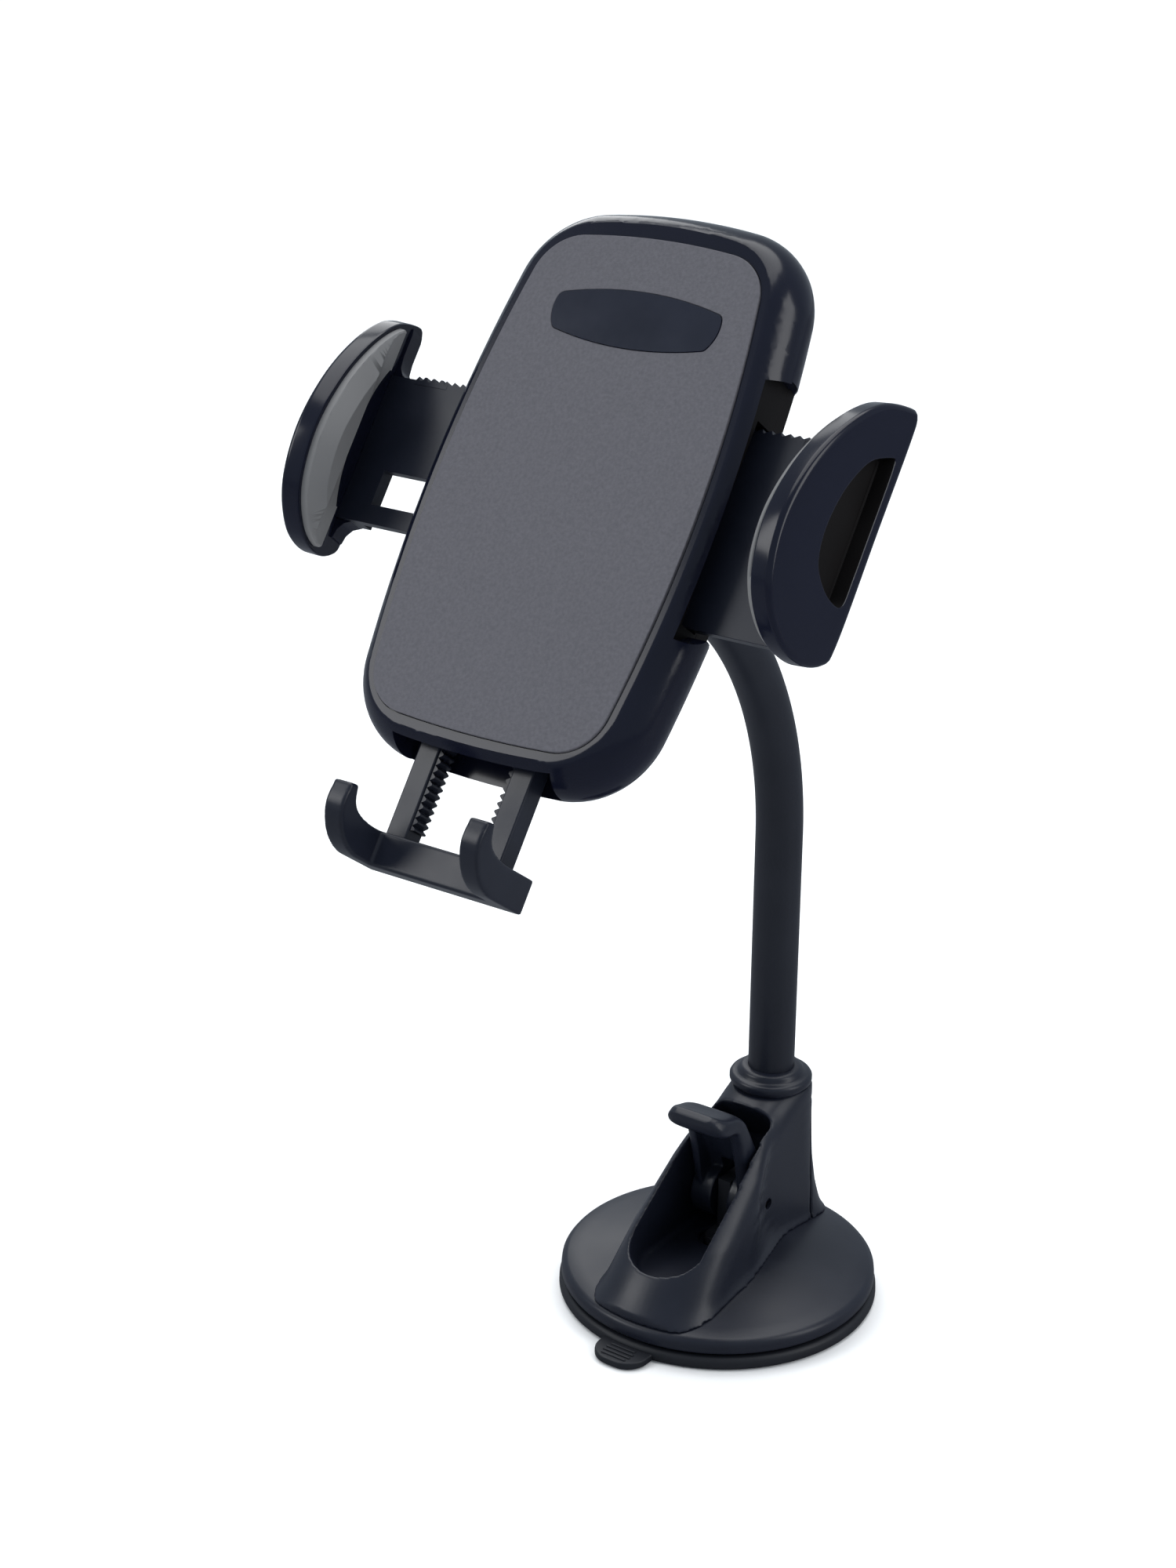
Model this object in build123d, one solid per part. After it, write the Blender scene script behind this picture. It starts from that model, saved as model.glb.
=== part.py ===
from build123d import *
import os
from math import cos, pi, radians, sin, sqrt, tan

# Car phone mount: a suction base with a cam lever, a gooseneck, a ball joint and a
# clamping head with two side arms and a sliding foot. Millimetres, +Z up, front = -Y.
# The origin is the centre of the suction cup on the surface that it stands on.

# ---- driving dimensions: base -------------------------------------------------------
cup_r = 36.0            # rubber suction cup
cup_h = 3.2
cup_lip = 0.9           # rounding of the rubber rim
groove_h = 0.7          # gap seen between the rubber and the dish
dish_r = 35.5
dish_edge_h = 3.2       # height of the dish's upright rim
dish_crown_h = 10.8     # height of the dish where it goes under the tower
dish_crown_r = 14.0
dish_wall = 1.8
tab_length = 6.5        # pull tab past the cup's rim
tab_width = 13.0

tower_h = 43.3          # top of the tower, where the collar sits
toe_y = -35.2           # front end of the tower on the dish
heel_y = 34.2           # rear end
hood_half = 14.2        # half width of the hood at the dish
column_half = 9.2       # half width of the flat-sided column behind it
hood_taper = 6.0        # degrees
hood_rear_y = 9.0
opening_half = 8.7      # half width of the lever's recess
trough_r = 11.0
opening_low = (-26.0, 13.6)    # lower end of the recess, y and z
opening_high = (11.0, 38.5)    # upper end
recess_floor_z = 12.3
cover_seam_y = 24.6     # the rear cover starts here
seam_gap = 0.25

pivot_y = 6.0           # lever pivot
pivot_z = 21.0
lever_length = 30.0
lever_half = 7.6
lever_stand = 115.0     # degrees above +Y when the lever is up
lever_throw = 65.0      # degrees from up to locked
hub_r = 6.5
lever_tip_r = 4.5       # rounding of the lever's tip corners
lever_pin_r = 1.2
stem_lift = 2.5         # how far the locked lever pulls the cup up
yoke_disc_r = 4.2
yoke_half = 1.6         # half thickness of the stem's blade
stem_r = 3.0
stem_plate_r = 12.3
stem_plate_h = 1.2

# ---- driving dimensions: neck and ball ----------------------------------------------
neck_y = 20.3
neck_r = 5.25
core_r = 3.6
core_bore = 1.8
collar_r = 9.4
collar_h = 2.7
neck_rise = 60.7        # straight rise above the tower
bend_r = 76.0
head_tilt = 35.83       # degrees that the face leans back
neck_end_run = 14.8     # straight run after the bend
segment_count = 7
first_pivot = 18.0      # along the neck, from the tower's top
last_run = 28.0         # from the last pivot to the sleeve's end
pivot_ball_r = 7.4
neck_gap = 0.3

ball_r = 7.5
ball_gap = 0.3
liner_t = 1.4
shank_r = 3.2
shank_run = 12.5        # ball centre to ferrule
ball_depth = 29.0       # ball centre behind the face
swivel_cone = 56.0      # half angle of the socket's opening
collet_r = 12.5
collet_end = 6.5        # collet's end, behind the ball centre
nut_wall = 3.0
nut_gap = 0.3
nut_length = 13.0
nut_ribs = 18

# ---- driving dimensions: head -------------------------------------------------------
shell_depth = 18.5
face_set_back = 0.5     # bezel behind the pad's face
seam_depth = 12.0       # where the front and back shells meet
pad_t = 1.2
floor_t = 2.0
back_t = 2.2
wall_x = 30.8           # outer side of the inner side walls
cavity_inset = 1.4
notch_depth = 2.5       # the grips' notches start this far behind the face
notch_gap = 0.8
foot_slot_half = 18.3

arm_t = 2.2
arm_front = -6.4        # front of the left arm's plate
arm_gap = 0.4           # between the two plates
plates_back = arm_front - 2 * arm_t - arm_gap
boss_bite = 0.2         # how far the pinion's boss stands behind the plates
left_arm_top = 17.3
left_arm_low = -13.5
right_arm_top = 19.9
right_arm_low = -19.2
arm_tail = 8.0          # how far each plate passes the middle
arm_travel = 14.0
ratchet_pitch = 2.0
ratchet_h = 0.8
ratchet_clear = 0.3

pinion_y = -5.95
gear_module = 0.5
pinion_teeth = 12
rack_clear = 0.12
pinion_pin_r = 1.2
running_gap = 0.05

grip_x = 57.4           # outer face of a grip at its middle
grip_lean = 9.8         # degrees that the outer face leans inwards to the front
grip_z = 1.0
rim_t = 4.4
grip_pad_t = 4.0
grip_root = 8.6         # depth of the block that joins a grip to its arm
pocket_depth = 3.0
arm_end_x = 50.0

leg_inner = 8.6
leg_outer = 13.3
leg_front = -4.7
leg_t = 4.8
leg_top = -34.0
bar_top = -71.2
bar_low = -78.0
bar_half = 17.8
bar_back = -10.4
bar_front = -4.0
hook_inner = 13.5
hook_top = -66.0
hook_front = 10.0
hook_t = 3.2
leg_pitch = 3.0
leg_tooth = 1.0

button_r = 5.0
button_y = 33.0
button_out = 1.8
button_travel = 1.5
slide_gap = 0.3
screw_r = 1.3
screw_head_r = 2.6

tilt = radians(head_tilt)
turn = radians(90.0 - head_tilt)

# The neck's line: straight up, an arc forward, then straight to the head's back.
neck_base = Vector(0, neck_y, tower_h)
bend_start = neck_base + Vector(0, 0, neck_rise)
bend_centre = bend_start - Vector(0, bend_r, 0)
face_normal = Vector(0, -cos(tilt), sin(tilt))
bend_end = bend_centre + Vector(0, bend_r * cos(turn), bend_r * sin(turn))
arc_length = bend_r * turn
neck_length = neck_rise + arc_length + neck_end_run
sleeve_end = bend_end + face_normal * neck_end_run
ball_centre = sleeve_end + face_normal * (shank_run + 3.5)
face_origin = ball_centre + face_normal * ball_depth
HEAD = Plane(origin=face_origin, x_dir=(1, 0, 0), z_dir=face_normal)
BALL = Plane(origin=ball_centre, x_dir=(1, 0, 0), z_dir=face_normal)


def on_head(shape):
    """Put a piece drawn in the head's own axes (x right, y up the face, z out) in place."""
    return HEAD.location * shape


def block(x0, x1, y0, y1, z0, z1):
    """A box from its low and high faces."""
    size = (x1 - x0, y1 - y0, z1 - z0)
    return Pos((x0 + x1) / 2, (y0 + y1) / 2, (z0 + z1) / 2) * Box(*size)


def rod(radius, z0, z1, x=0.0, y=0.0):
    """An upright cylinder from z0 to z1."""
    return Pos(x, y, (z0 + z1) / 2) * Cylinder(radius, z1 - z0)


def side_prism(points, x0, x1):
    """A polygon given as (y, z), swept across from x0 to x1."""
    sketch = make_face(Polyline(*[(p[0], p[1]) for p in points], close=True))
    return Pos(x0, 0, 0) * (Plane.YZ.location * extrude(sketch, x1 - x0))


def revolved(points):
    """A ring or disc about Z from its (radius, z) outline."""
    sketch = Plane.XZ * make_face(Polyline(*points, close=True))
    return revolve(sketch, Axis.Z)


def mirrored(shape):
    return mirror(shape, about=Plane.YZ)


def neck_frame(s):
    """The plane across the neck at the distance s from the tower's top."""
    if s <= neck_rise:
        return Plane(origin=neck_base + Vector(0, 0, s), x_dir=(1, 0, 0), z_dir=(0, 0, 1))
    if s >= neck_rise + arc_length:
        origin = bend_end + face_normal * (s - neck_rise - arc_length)
        return Plane(origin=origin, x_dir=(1, 0, 0), z_dir=face_normal)
    a = (s - neck_rise) / bend_r
    origin = bend_centre + Vector(0, bend_r * cos(a), bend_r * sin(a))
    return Plane(origin=origin, x_dir=(1, 0, 0), z_dir=(0, -sin(a), cos(a)))


def neck_tube(outer, inner, s0, s1):
    """The stretch of a round tube along the neck's line from s0 to s1."""
    stops = [s0]
    stops += [s for s in (neck_rise, neck_rise + arc_length) if s0 < s < s1]
    stops += [s1]
    tube = None
    for a, b in zip(stops, stops[1:]):
        start = neck_frame(a)
        middle = neck_frame((a + b) / 2)
        end = neck_frame(b)
        straight = b <= neck_rise or a >= neck_rise + arc_length
        if straight:
            path = Line(start.origin, end.origin)
        else:
            path = ThreePointArc(start.origin, middle.origin, end.origin)
        ring = Circle(outer) - Circle(inner) if inner else Circle(outer)
        piece = sweep(start * ring, path=path)
        tube = piece if tube is None else tube + piece
    return tube


pivot_step = (neck_length - first_pivot - last_run) / (segment_count - 2)
pivot_stops = [first_pivot + pivot_step * i for i in range(segment_count - 1)]


def neck_segment(index, outer, inner):
    """One link of the gooseneck, with a domed top and a hollow that fits the dome below."""
    last = index == segment_count - 1
    low = pivot_stops[index - 1] if index else 0.0
    high = neck_length if last else pivot_stops[index]
    link = neck_tube(outer, inner, low, high)
    if index:
        below = Pos(*neck_frame(low).origin) * Sphere(pivot_ball_r + neck_gap)
        link = link - below
    if not last:
        dome = neck_tube(outer, inner, high, high + pivot_ball_r + 1)
        link = link + (dome & (Pos(*neck_frame(high).origin) * Sphere(pivot_ball_r)))
    return link


# ---- base ---------------------------------------------------------------------------

def suction_cup():
    """Flexible disc with a rounded lip, a pull tab and a pocket for the stem's plate."""
    disc = revolved([(0, 0), (cup_r - cup_lip, 0), (cup_r, cup_lip),
                     (cup_r - 0.3, cup_h), (0, cup_h)])
    tab = block(-tab_width / 2, tab_width / 2, -cup_r - tab_length, -cup_r + 3, 0.2, 1.9)
    tab = fillet(tab.edges().filter_by(Axis.Z).group_by(Axis.Y)[0], tab_width * 0.42)
    for i in range(4):
        y = -cup_r - tab_length + 1.6 + 1.3 * i
        tab = tab + block(-tab_width * 0.28, tab_width * 0.28, y - 0.3, y + 0.3, 1.8, 2.3)
    pocket = rod(stem_plate_r + slide_gap, 1.0, cup_h + 1)
    return disc + tab - pocket


def cone_z(radius):
    """Height of the dish's sloping top at a radius."""
    edge_z = cup_h + groove_h + dish_edge_h
    slope = (dish_crown_h - edge_z) / (dish_r - 0.9 - dish_crown_r)
    return edge_z + slope * (dish_r - 0.9 - radius)


def dish_body():
    low = cup_h + groove_h
    return revolved([(0, low), (dish_r - 0.3, low), (dish_r, low + 0.4),
                     (dish_r, low + dish_edge_h - 0.9), (dish_r - 0.9, low + dish_edge_h),
                     (dish_crown_r, dish_crown_h), (0, dish_crown_h)])


def base_dish():
    """Hollow plastic dome over the rubber, with a guide hole for the stem."""
    low = cup_h + groove_h
    inner_r = dish_r - dish_wall
    hollow = revolved([(0, low - 1), (inner_r - 1, low - 1), (inner_r - 1, low + 1.2),
                       (dish_crown_r, dish_crown_h - dish_wall), (0, dish_crown_h - dish_wall)])
    seat = revolved([(inner_r - 2.6, cup_h), (inner_r - 1.0, cup_h), (inner_r - 1.0, low + 2.0),
                     (inner_r - 2.6, low + 2.4)])
    dish = dish_body() - hollow + seat
    dish = dish - rod(stem_r + slide_gap, 0, dish_crown_h + 2)
    return dish - base_screw_holes()


base_screw_spots = [(0, -26.0), (-5.5, 28.0), (5.5, 28.0)]


def base_screw_holes():
    holes = [rod(screw_r + 0.25, 2, tower_h, x, y) for x, y in base_screw_spots]
    return holes[0] + holes[1] + holes[2]


def base_screws():
    """Screws driven up through the dish into the tower."""
    screws = []
    for x, y in base_screw_spots:
        under = cone_z(sqrt(x * x + y * y) + screw_head_r) - dish_wall - 0.6
        screws.append(rod(screw_head_r, under - 1.4, under, x, y) +
                      rod(screw_r, under - 0.2, under + 7.0, x, y))
    return Compound(screws)


def tower_solid():
    """Outer form of the tower: a wide tapered hood in front, a flat-sided column behind."""
    hood_plan = Pos(0, (toe_y + hood_rear_y) / 2) * Rectangle(2 * hood_half, hood_rear_y - toe_y)
    hood_plan = fillet(hood_plan.vertices().group_by(Axis.Y)[0], 11.5)
    hood_plan = fillet(hood_plan.vertices().group_by(Axis.Y)[-1], 7.0)
    hood = extrude(hood_plan, tower_h + 2, taper=hood_taper)
    column = block(-column_half, column_half, toe_y + 20, heel_y + 3, 0, tower_h + 2)
    column = fillet(column.edges().filter_by(Axis.Z).group_by(Axis.Y)[-1], 8.4)
    front = Spline((toe_y - 0.4, 8.0), (-24.5, 20.2), (-10.0, 31.3), (0.5, 38.2),
                   (13.0, tower_h))
    heel = Spline((heel_y - 5.0, tower_h), (heel_y - 4.6, 34.0), (heel_y - 2.4, 17.0),
                  (heel_y + 1.2, 7.0))
    flats = [Line((13.0, tower_h), (heel_y - 5.0, tower_h)),
             Polyline((heel_y + 1.2, 7.0), (heel_y + 1.2, 1.0), (toe_y - 0.4, 1.0),
                      (toe_y - 0.4, 8.0))]
    profile = make_face(Curve() + [front, flats[0], heel, flats[1]])
    slab = Pos(-20, 0, 0) * (Plane.YZ.location * extrude(profile, 40))
    solid = (hood + column) & slab
    return solid - dish_body() - block(-40, 40, -50, 50, -1, cup_h + groove_h + 1)


def slope_plane():
    """The plane of the recess: x across, y up the slope, z out."""
    run = opening_high[0] - opening_low[0]
    rise = opening_high[1] - opening_low[1]
    length = sqrt(run * run + rise * rise)
    centre = ((opening_high[0] + opening_low[0]) / 2, (opening_high[1] + opening_low[1]) / 2)
    normal = (0, -rise / length, run / length)
    plane = Plane(origin=(0, centre[0], centre[1]), x_dir=(1, 0, 0), z_dir=normal)
    return plane, length


def lever_recess():
    """Rounded trough down the hood's front, with the lever's recess sunk in its middle."""
    plane, length = slope_plane()
    trough = Pos(0, -6, trough_r) * (Rot(90, 0, 0) * Cylinder(trough_r, length + 12))
    mouth = Rectangle(2 * opening_half, length)
    mouth = fillet(mouth.vertices().group_by(Axis.Y)[0], opening_half - 0.4)
    mouth = fillet(mouth.vertices().group_by(Axis.Y)[-1], 3.0)
    well = Pos(0, 0, -30) * extrude(mouth, 45)
    floor = recess_floor_z
    inside = side_prism([(-45, floor), (15.8, floor), (15.8, 32.0), (opening_high[0] + 1, 50),
                         (-45, 50)], -opening_half, opening_half)
    return plane.location * trough + ((plane.location * well) & inside)


def tower_parts():
    """The housing and its rear cover, cut from one form along the seam."""
    solid = tower_solid() - lever_recess()
    solid = solid - rod(stem_r + slide_gap + 1.2, 0, recess_floor_z + 3)
    solid = solid - base_screw_holes()
    bore = Pos(0, pivot_y, pivot_z) * (Rot(0, 90, 0) * Cylinder(lever_pin_r, 40))
    solid = solid - bore - rod(neck_r, tower_h - 6, tower_h + 1, 0, neck_y)
    cover_zone = block(-30, 30, cover_seam_y, 60, 0, tower_h - 4.0)
    groove = (cover_zone - block(-30, 30, cover_seam_y + seam_gap, 60, 0, tower_h - 4.2))
    cover = (solid & cover_zone) - groove
    return solid - cover_zone, cover


def neck_collar():
    """Ring on the tower's top that grips the foot of the gooseneck."""
    top = tower_h + collar_h
    ring = revolved([(neck_r, tower_h), (collar_r - 0.9, tower_h), (collar_r, tower_h + 0.8),
                     (collar_r, top - 0.8), (collar_r - 1.0, top), (neck_r + 1.6, top + 1.8),
                     (neck_r, top + 1.8)])
    return Pos(0, neck_y, 0) * ring


def lever_pin():
    half = column_half + 3.0
    pin = Pos(0, pivot_y, pivot_z) * (Rot(0, 90, 0) * Cylinder(lever_pin_r, 2 * half))
    return pin & tower_solid()


swing = radians(lever_throw)
eccentric = stem_lift / 2 / sin(swing / 2)
disc_y = pivot_y + eccentric * cos(swing / 2)
disc_z = pivot_z - stem_lift / 2


def cam_lever():
    """Lever with two hub cheeks and, between them, the eccentric disc that lifts the stem."""
    arm_pts = [(0, -5.2), (14, -4.6), (24, -3.0), (29.0, -0.6), (30.6, 2.2), (30.2, 5.4),
               (28.4, 5.6), (26.8, 3.0), (22, 1.6), (12, 2.6), (0, 5.2)]
    scale = lever_length / 30.0
    up = radians(lever_stand)
    points = [(pivot_y + scale * a * cos(up) - b * sin(up),
               pivot_z + scale * a * sin(up) + b * cos(up)) for a, b in arm_pts]
    arm = side_prism(points, -lever_half, lever_half)
    reach = scale * 30.8
    plan = Pos(0, reach / 2 - 6) * Rectangle(2 * lever_half, reach + 12)
    plan = fillet(plan.vertices().group_by(Axis.Y)[-1], lever_tip_r)
    lever_plane = Plane(origin=(0, pivot_y, pivot_z), x_dir=(1, 0, 0),
                        z_dir=(0, -sin(up), cos(up)))
    arm = arm & (lever_plane.location * (Pos(0, 0, -15) * extrude(plan, 30)))
    hub = Pos(0, pivot_y, pivot_z) * (Rot(0, 90, 0) * Cylinder(hub_r, 2 * lever_half))
    swept = Pos(0, pivot_y, pivot_z) * (Rot(0, 90, 0) * Cylinder(9.8, 2 * yoke_half + 1.0))
    disc = Pos(0, disc_y, disc_z) * (Rot(0, 90, 0) * Cylinder(yoke_disc_r, 2 * yoke_half + 1.0))
    bore = Pos(0, pivot_y, pivot_z) * (Rot(0, 90, 0) * Cylinder(lever_pin_r + running_gap, 40))
    return arm + hub - swept + disc - bore


def suction_stem():
    """Plate moulded into the cup, a rod, and a blade whose window rides on the disc."""
    plate = rod(stem_plate_r, 1.2, 1.2 + stem_plate_h)
    shaft = rod(stem_r, 1.2, recess_floor_z + 0.5)
    gap = 0.14
    reach = eccentric * (1 - cos(swing / 2))
    low_y = disc_y - yoke_disc_r - gap
    high_y = disc_y + yoke_disc_r + reach + gap
    low_z = disc_z - yoke_disc_r - gap
    high_z = disc_z + yoke_disc_r + gap
    blade = block(-yoke_half, yoke_half, low_y - 1.7, high_y + 1.7, low_z - 1.7, high_z + 1.7)
    web = block(-yoke_half, yoke_half, -stem_r + 0.6, high_y, recess_floor_z + 0.3, low_z - 1.0)
    window = block(-yoke_half - 1, yoke_half + 1, low_y, high_y, low_z, high_z)
    return plate + shaft + web + (blade - window)


def stem_spring():
    """Coil that pushes the stem down when the lever is released."""
    low = 1.2 + stem_plate_h
    high = dish_crown_h - dish_wall
    wire = 0.45
    coil_r = stem_r + slide_gap + 1.4
    turns = 3.5
    path = Helix(pitch=(high - low - 2.2 * wire) / turns, height=high - low - 2.2 * wire,
                 radius=coil_r)
    section = Plane(origin=path @ 0, z_dir=path % 0) * Circle(wire)
    return Pos(0, 0, low + 1.1 * wire) * sweep(section, path=path)


# ---- ball joint ---------------------------------------------------------------------

def ball_stud():
    """Steel ball with its shank, pressed into the ferrule."""
    ball = Sphere(ball_r) + rod(shank_r, -shank_run - 3.0, -2.0)
    return BALL.location * ball


def neck_ferrule():
    """Cap on the gooseneck's upper end."""
    run = shank_run + 3.5
    cap = revolved([(shank_r, -run + 0.5), (shank_r, -shank_run), (neck_r - 0.6, -shank_run),
                    (neck_r + 0.9, -shank_run - 1.2), (neck_r + 0.9, -run - 5.0),
                    (neck_r, -run - 5.0), (neck_r, -run), (0, -run), (0, -run + 0.5)])
    return BALL.location * cap


liner_in = ball_r + ball_gap
liner_out = liner_in + liner_t
socket_r = liner_out + ball_gap


def cone(half_angle, length, direction):
    """A cone with its tip on the ball centre, opening along +z or -z."""
    radius = length * tan(radians(half_angle))
    shape = Cone(0.001, radius, length, align=(Align.CENTER, Align.CENTER, Align.MIN))
    return shape if direction > 0 else Rot(180, 0, 0) * shape


def ball_seat():
    """Friction liner: a zone of a hollow sphere, open to the neck and to the front."""
    zone = Sphere(liner_out) - Sphere(liner_in)
    zone = zone - cone(48.0, 20.0, -1) - cone(40.0, 20.0, 1)
    return BALL.location * zone


def friction_disc():
    """Small dished disc that presses on the ball's front."""
    cap = (Sphere(liner_out) - Sphere(liner_in)) & cone(14.0, 20.0, 1)
    return BALL.location * cap


def collet_form():
    """Hub on the back shell that holds the ball's liner, in the ball's axes."""
    front = ball_depth - shell_depth + 0.5
    hub = rod(collet_r, -collet_end, front)
    return hub - Sphere(socket_r) - cone(swivel_cone, 30.0, -1)


def socket_nut():
    """Ribbed ring that screws onto the collet and tightens the ball."""
    inner = collet_r + nut_gap
    outer = inner + nut_wall
    ring = rod(outer, -collet_end, -collet_end + nut_length)
    ring = ring - rod(inner, -collet_end - 1, -collet_end + nut_length + 1)
    ring = chamfer(ring.edges().filter_by(GeomType.CIRCLE).sort_by(SortBy.RADIUS)[-2:], 0.8)
    for i in range(nut_ribs):
        rib = Pos(outer - 0.1, 0, -collet_end + nut_length / 2) * Cylinder(0.9, nut_length - 3)
        ring = ring + Rot(0, 0, 360.0 / nut_ribs * i) * rib
    return BALL.location * ring


# ---- head ---------------------------------------------------------------------------

def face_outline(low_half, mid_half, top_half, low_y, sag, top_y, crown, corner):
    """The head's outline: long bowed sides, a crowned top and rounded corners."""
    right = ThreePointArc((low_half, low_y), (mid_half, 0), (top_half, top_y))
    top = ThreePointArc((top_half, top_y), (0, top_y + crown), (-top_half, top_y))
    left = ThreePointArc((-top_half, top_y), (-mid_half, 0), (-low_half, low_y))
    bottom = ThreePointArc((-low_half, low_y), (0, low_y - sag), (low_half, low_y))
    outline = make_face(Curve() + [right, top, left, bottom])
    return fillet(outline.vertices(), corner)


def pad_outline(grow=0.0):
    """The face pad's outline, moved outwards all round by grow."""
    g = grow
    return face_outline(25.6 + g, 29.5 + g, 24.3 + g, -48.7 - g, 1.3, 48.7 + g, 2.1, 10.0 + g)


def shell_outline(grow=0.0):
    """The shell's widest outline, moved outwards all round by grow."""
    g = grow
    return face_outline(31.4 + g, 35.4 + g, 30.0 + g, -54.6 - g, 1.9, 55.0 + g, 3.5, 18.0 + g)


shell_stations = [(-face_set_back, -4.6), (-4.6, -0.9), (-9.0, 0.0), (-14.0, -1.9),
                  (-shell_depth, -8.6)]


def shell_form():
    """Outer form of the head, lofted through the outline at several depths."""
    sections = []
    for depth, grow in shell_stations:
        sections.append(Pos(0, 0, depth) * shell_outline(grow))
    return loft(sections)


def spread(points, centre, grow):
    """Move each point away from the centre by grow."""
    moved = []
    for a, b in points:
        da, db = a - centre[0], b - centre[1]
        far = sqrt(da * da + db * db)
        moved.append((a + da / far * grow, b + db / far * grow))
    return moved


def grip_outline(grow=0.0):
    """The D shape of a grip seen from the side, drawn as (y, z)."""
    bow = [(29.3, -9.5), (25.0, 0.6), (12.0, 10.9), (-2.5, 14.1), (-16.0, 10.0),
           (-22.3, 0.0), (-20.2, -9.0)]
    heel = [(-20.2, -9.0), (-17.5, -12.0), (28.6, -12.0), (29.3, -9.5)]
    front = Spline(*spread(bow, (3.0, -2.0), grow))
    back = Polyline(*spread(heel, (3.0, -2.0), grow))
    return make_face(Curve() + [front, back])


def across(sketch, x0, x1):
    """Sweep a sketch drawn as (y, z) from x0 to x1."""
    return Pos(x0, 0, 0) * (Plane.YZ.location * extrude(sketch, x1 - x0))


def grip_notch():
    """Space that a closed grip moves into, on the right side."""
    sweep_zone = across(grip_outline(notch_gap), wall_x, 70)
    back_zone = block(wall_x, 70, -20.6, 30.2, -shell_depth - 2, -8.0)
    zone = sweep_zone + back_zone
    return zone & block(0, 80, -60, 60, -60, -notch_depth)


def shell_cuts():
    """Everything cut from both shells: cavity, notches, arm slots and foot slot."""
    cavity_depth = shell_depth - back_t
    hollow = pad_outline(-cavity_inset)
    cavity = Pos(0, 0, -cavity_depth) * extrude(hollow, cavity_depth - pad_t - floor_t)
    cuts = cavity + grip_notch() + mirrored(grip_notch())
    top = right_arm_top + ratchet_h + slide_gap
    cuts = cuts + block(-wall_x - 1, wall_x + 1, right_arm_low - slide_gap, top,
                        plates_back - slide_gap, arm_front + slide_gap)
    foot = block(-foot_slot_half, foot_slot_half, -70, -44, bar_back - 0.4, bar_front + 0.3)
    return cuts + foot


shell_screw_spots = [(-19.0, 39.0), (19.0, 39.0), (-19.0, -36.0), (19.0, -36.0)]


def shell_bosses():
    """Posts inside the front shell that the shell screws bite into."""
    depth = shell_depth - back_t
    posts = [rod(3.0, -seam_depth, -pad_t - 0.5, x, y) for x, y in shell_screw_spots]
    posts += [rod(3.0, -depth - 0.5, -seam_depth, x, y) for x, y in shell_screw_spots]
    return posts


def shell_screw_holes():
    holes = None
    for x, y in shell_screw_spots:
        hole = rod(screw_r, -shell_depth - 1, -5.0, x, y)
        hole = hole + rod(screw_head_r + 0.2, -shell_depth - 3, -shell_depth + 1.9, x, y)
        holes = hole if holes is None else holes + hole
    return holes


def head_shells():
    """Front and back shells, split at the seam."""
    body = shell_form() - shell_cuts()
    posts = shell_bosses()
    for post in posts:
        body = body + post
    recess = Pos(0, 0, -pad_t) * extrude(pad_outline(0.15), 5)
    body = body - recess - shell_screw_holes()
    big = 90
    front = body & block(-big, big, -big, big, -seam_depth, 5)
    back = body & block(-big, big, -big, big, -40, -seam_depth)
    collet = Pos(0, 0, -ball_depth) * collet_form()
    room = Pos(0, 0, -ball_depth) * (Sphere(socket_r) + cone(swivel_cone, 30.0, -1))
    pin_boss = rod(2.6, -shell_depth + 1, plates_back - boss_bite, 0, pinion_y)
    back = (back + collet + pin_boss) - room
    back = back - rod(pinion_pin_r, -shell_depth + 1, 0, 0, pinion_y)
    back = back - rod(button_r + slide_gap, -shell_depth - 1, -seam_depth, 0, button_y)
    guide = rod(button_r + 1.6, -shell_depth + 1.0, -13.4, 0, button_y)
    guide = guide - rod(button_r + slide_gap, -shell_depth, -8, 0, button_y)
    return on_head(front), on_head(back + guide)


def shell_screws():
    screws = []
    for x, y in shell_screw_spots:
        screws.append(rod(screw_head_r, -shell_depth + 0.5, -shell_depth + 1.9, x, y) +
                      rod(screw_r, -shell_depth + 1.7, -5.2, x, y))
    return on_head(Compound(screws))


def label_outline(grow=0.0):
    """Barrel-shaped badge, moved outwards all round by grow."""
    g = grow
    top = ThreePointArc((-17.4 - g, 37.6 + g), (1.0, 39.9 + g), (19.4 + g, 37.6 + g))
    right = ThreePointArc((19.4 + g, 37.6 + g), (19.9 + g, 34.0), (18.3 + g, 30.2 - g))
    low = ThreePointArc((18.3 + g, 30.2 - g), (1.0, 28.2 - g), (-16.3 - g, 30.2 - g))
    left = ThreePointArc((-16.3 - g, 30.2 - g), (-17.9 - g, 34.0), (-17.4 - g, 37.6 + g))
    return fillet(make_face(Curve() + [top, right, low, left]).vertices(), 1.6)


label_recess = 0.35


def face_pad():
    """Soft pad in the face, with a shallow recess for the badge."""
    pad = Pos(0, 0, -pad_t) * extrude(pad_outline(), pad_t)
    recess = Pos(0, 0, -label_recess) * extrude(label_outline(), 2)
    return on_head(pad - recess)


def label_plate():
    plate = Pos(0, 0, -label_recess) * extrude(label_outline(-0.1), label_recess + 0.1)
    return on_head(plate)


# ---- arms, grips and rack drive -----------------------------------------------------

rack_pitch = pi * gear_module
pinion_r = gear_module * pinion_teeth / 2


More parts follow.
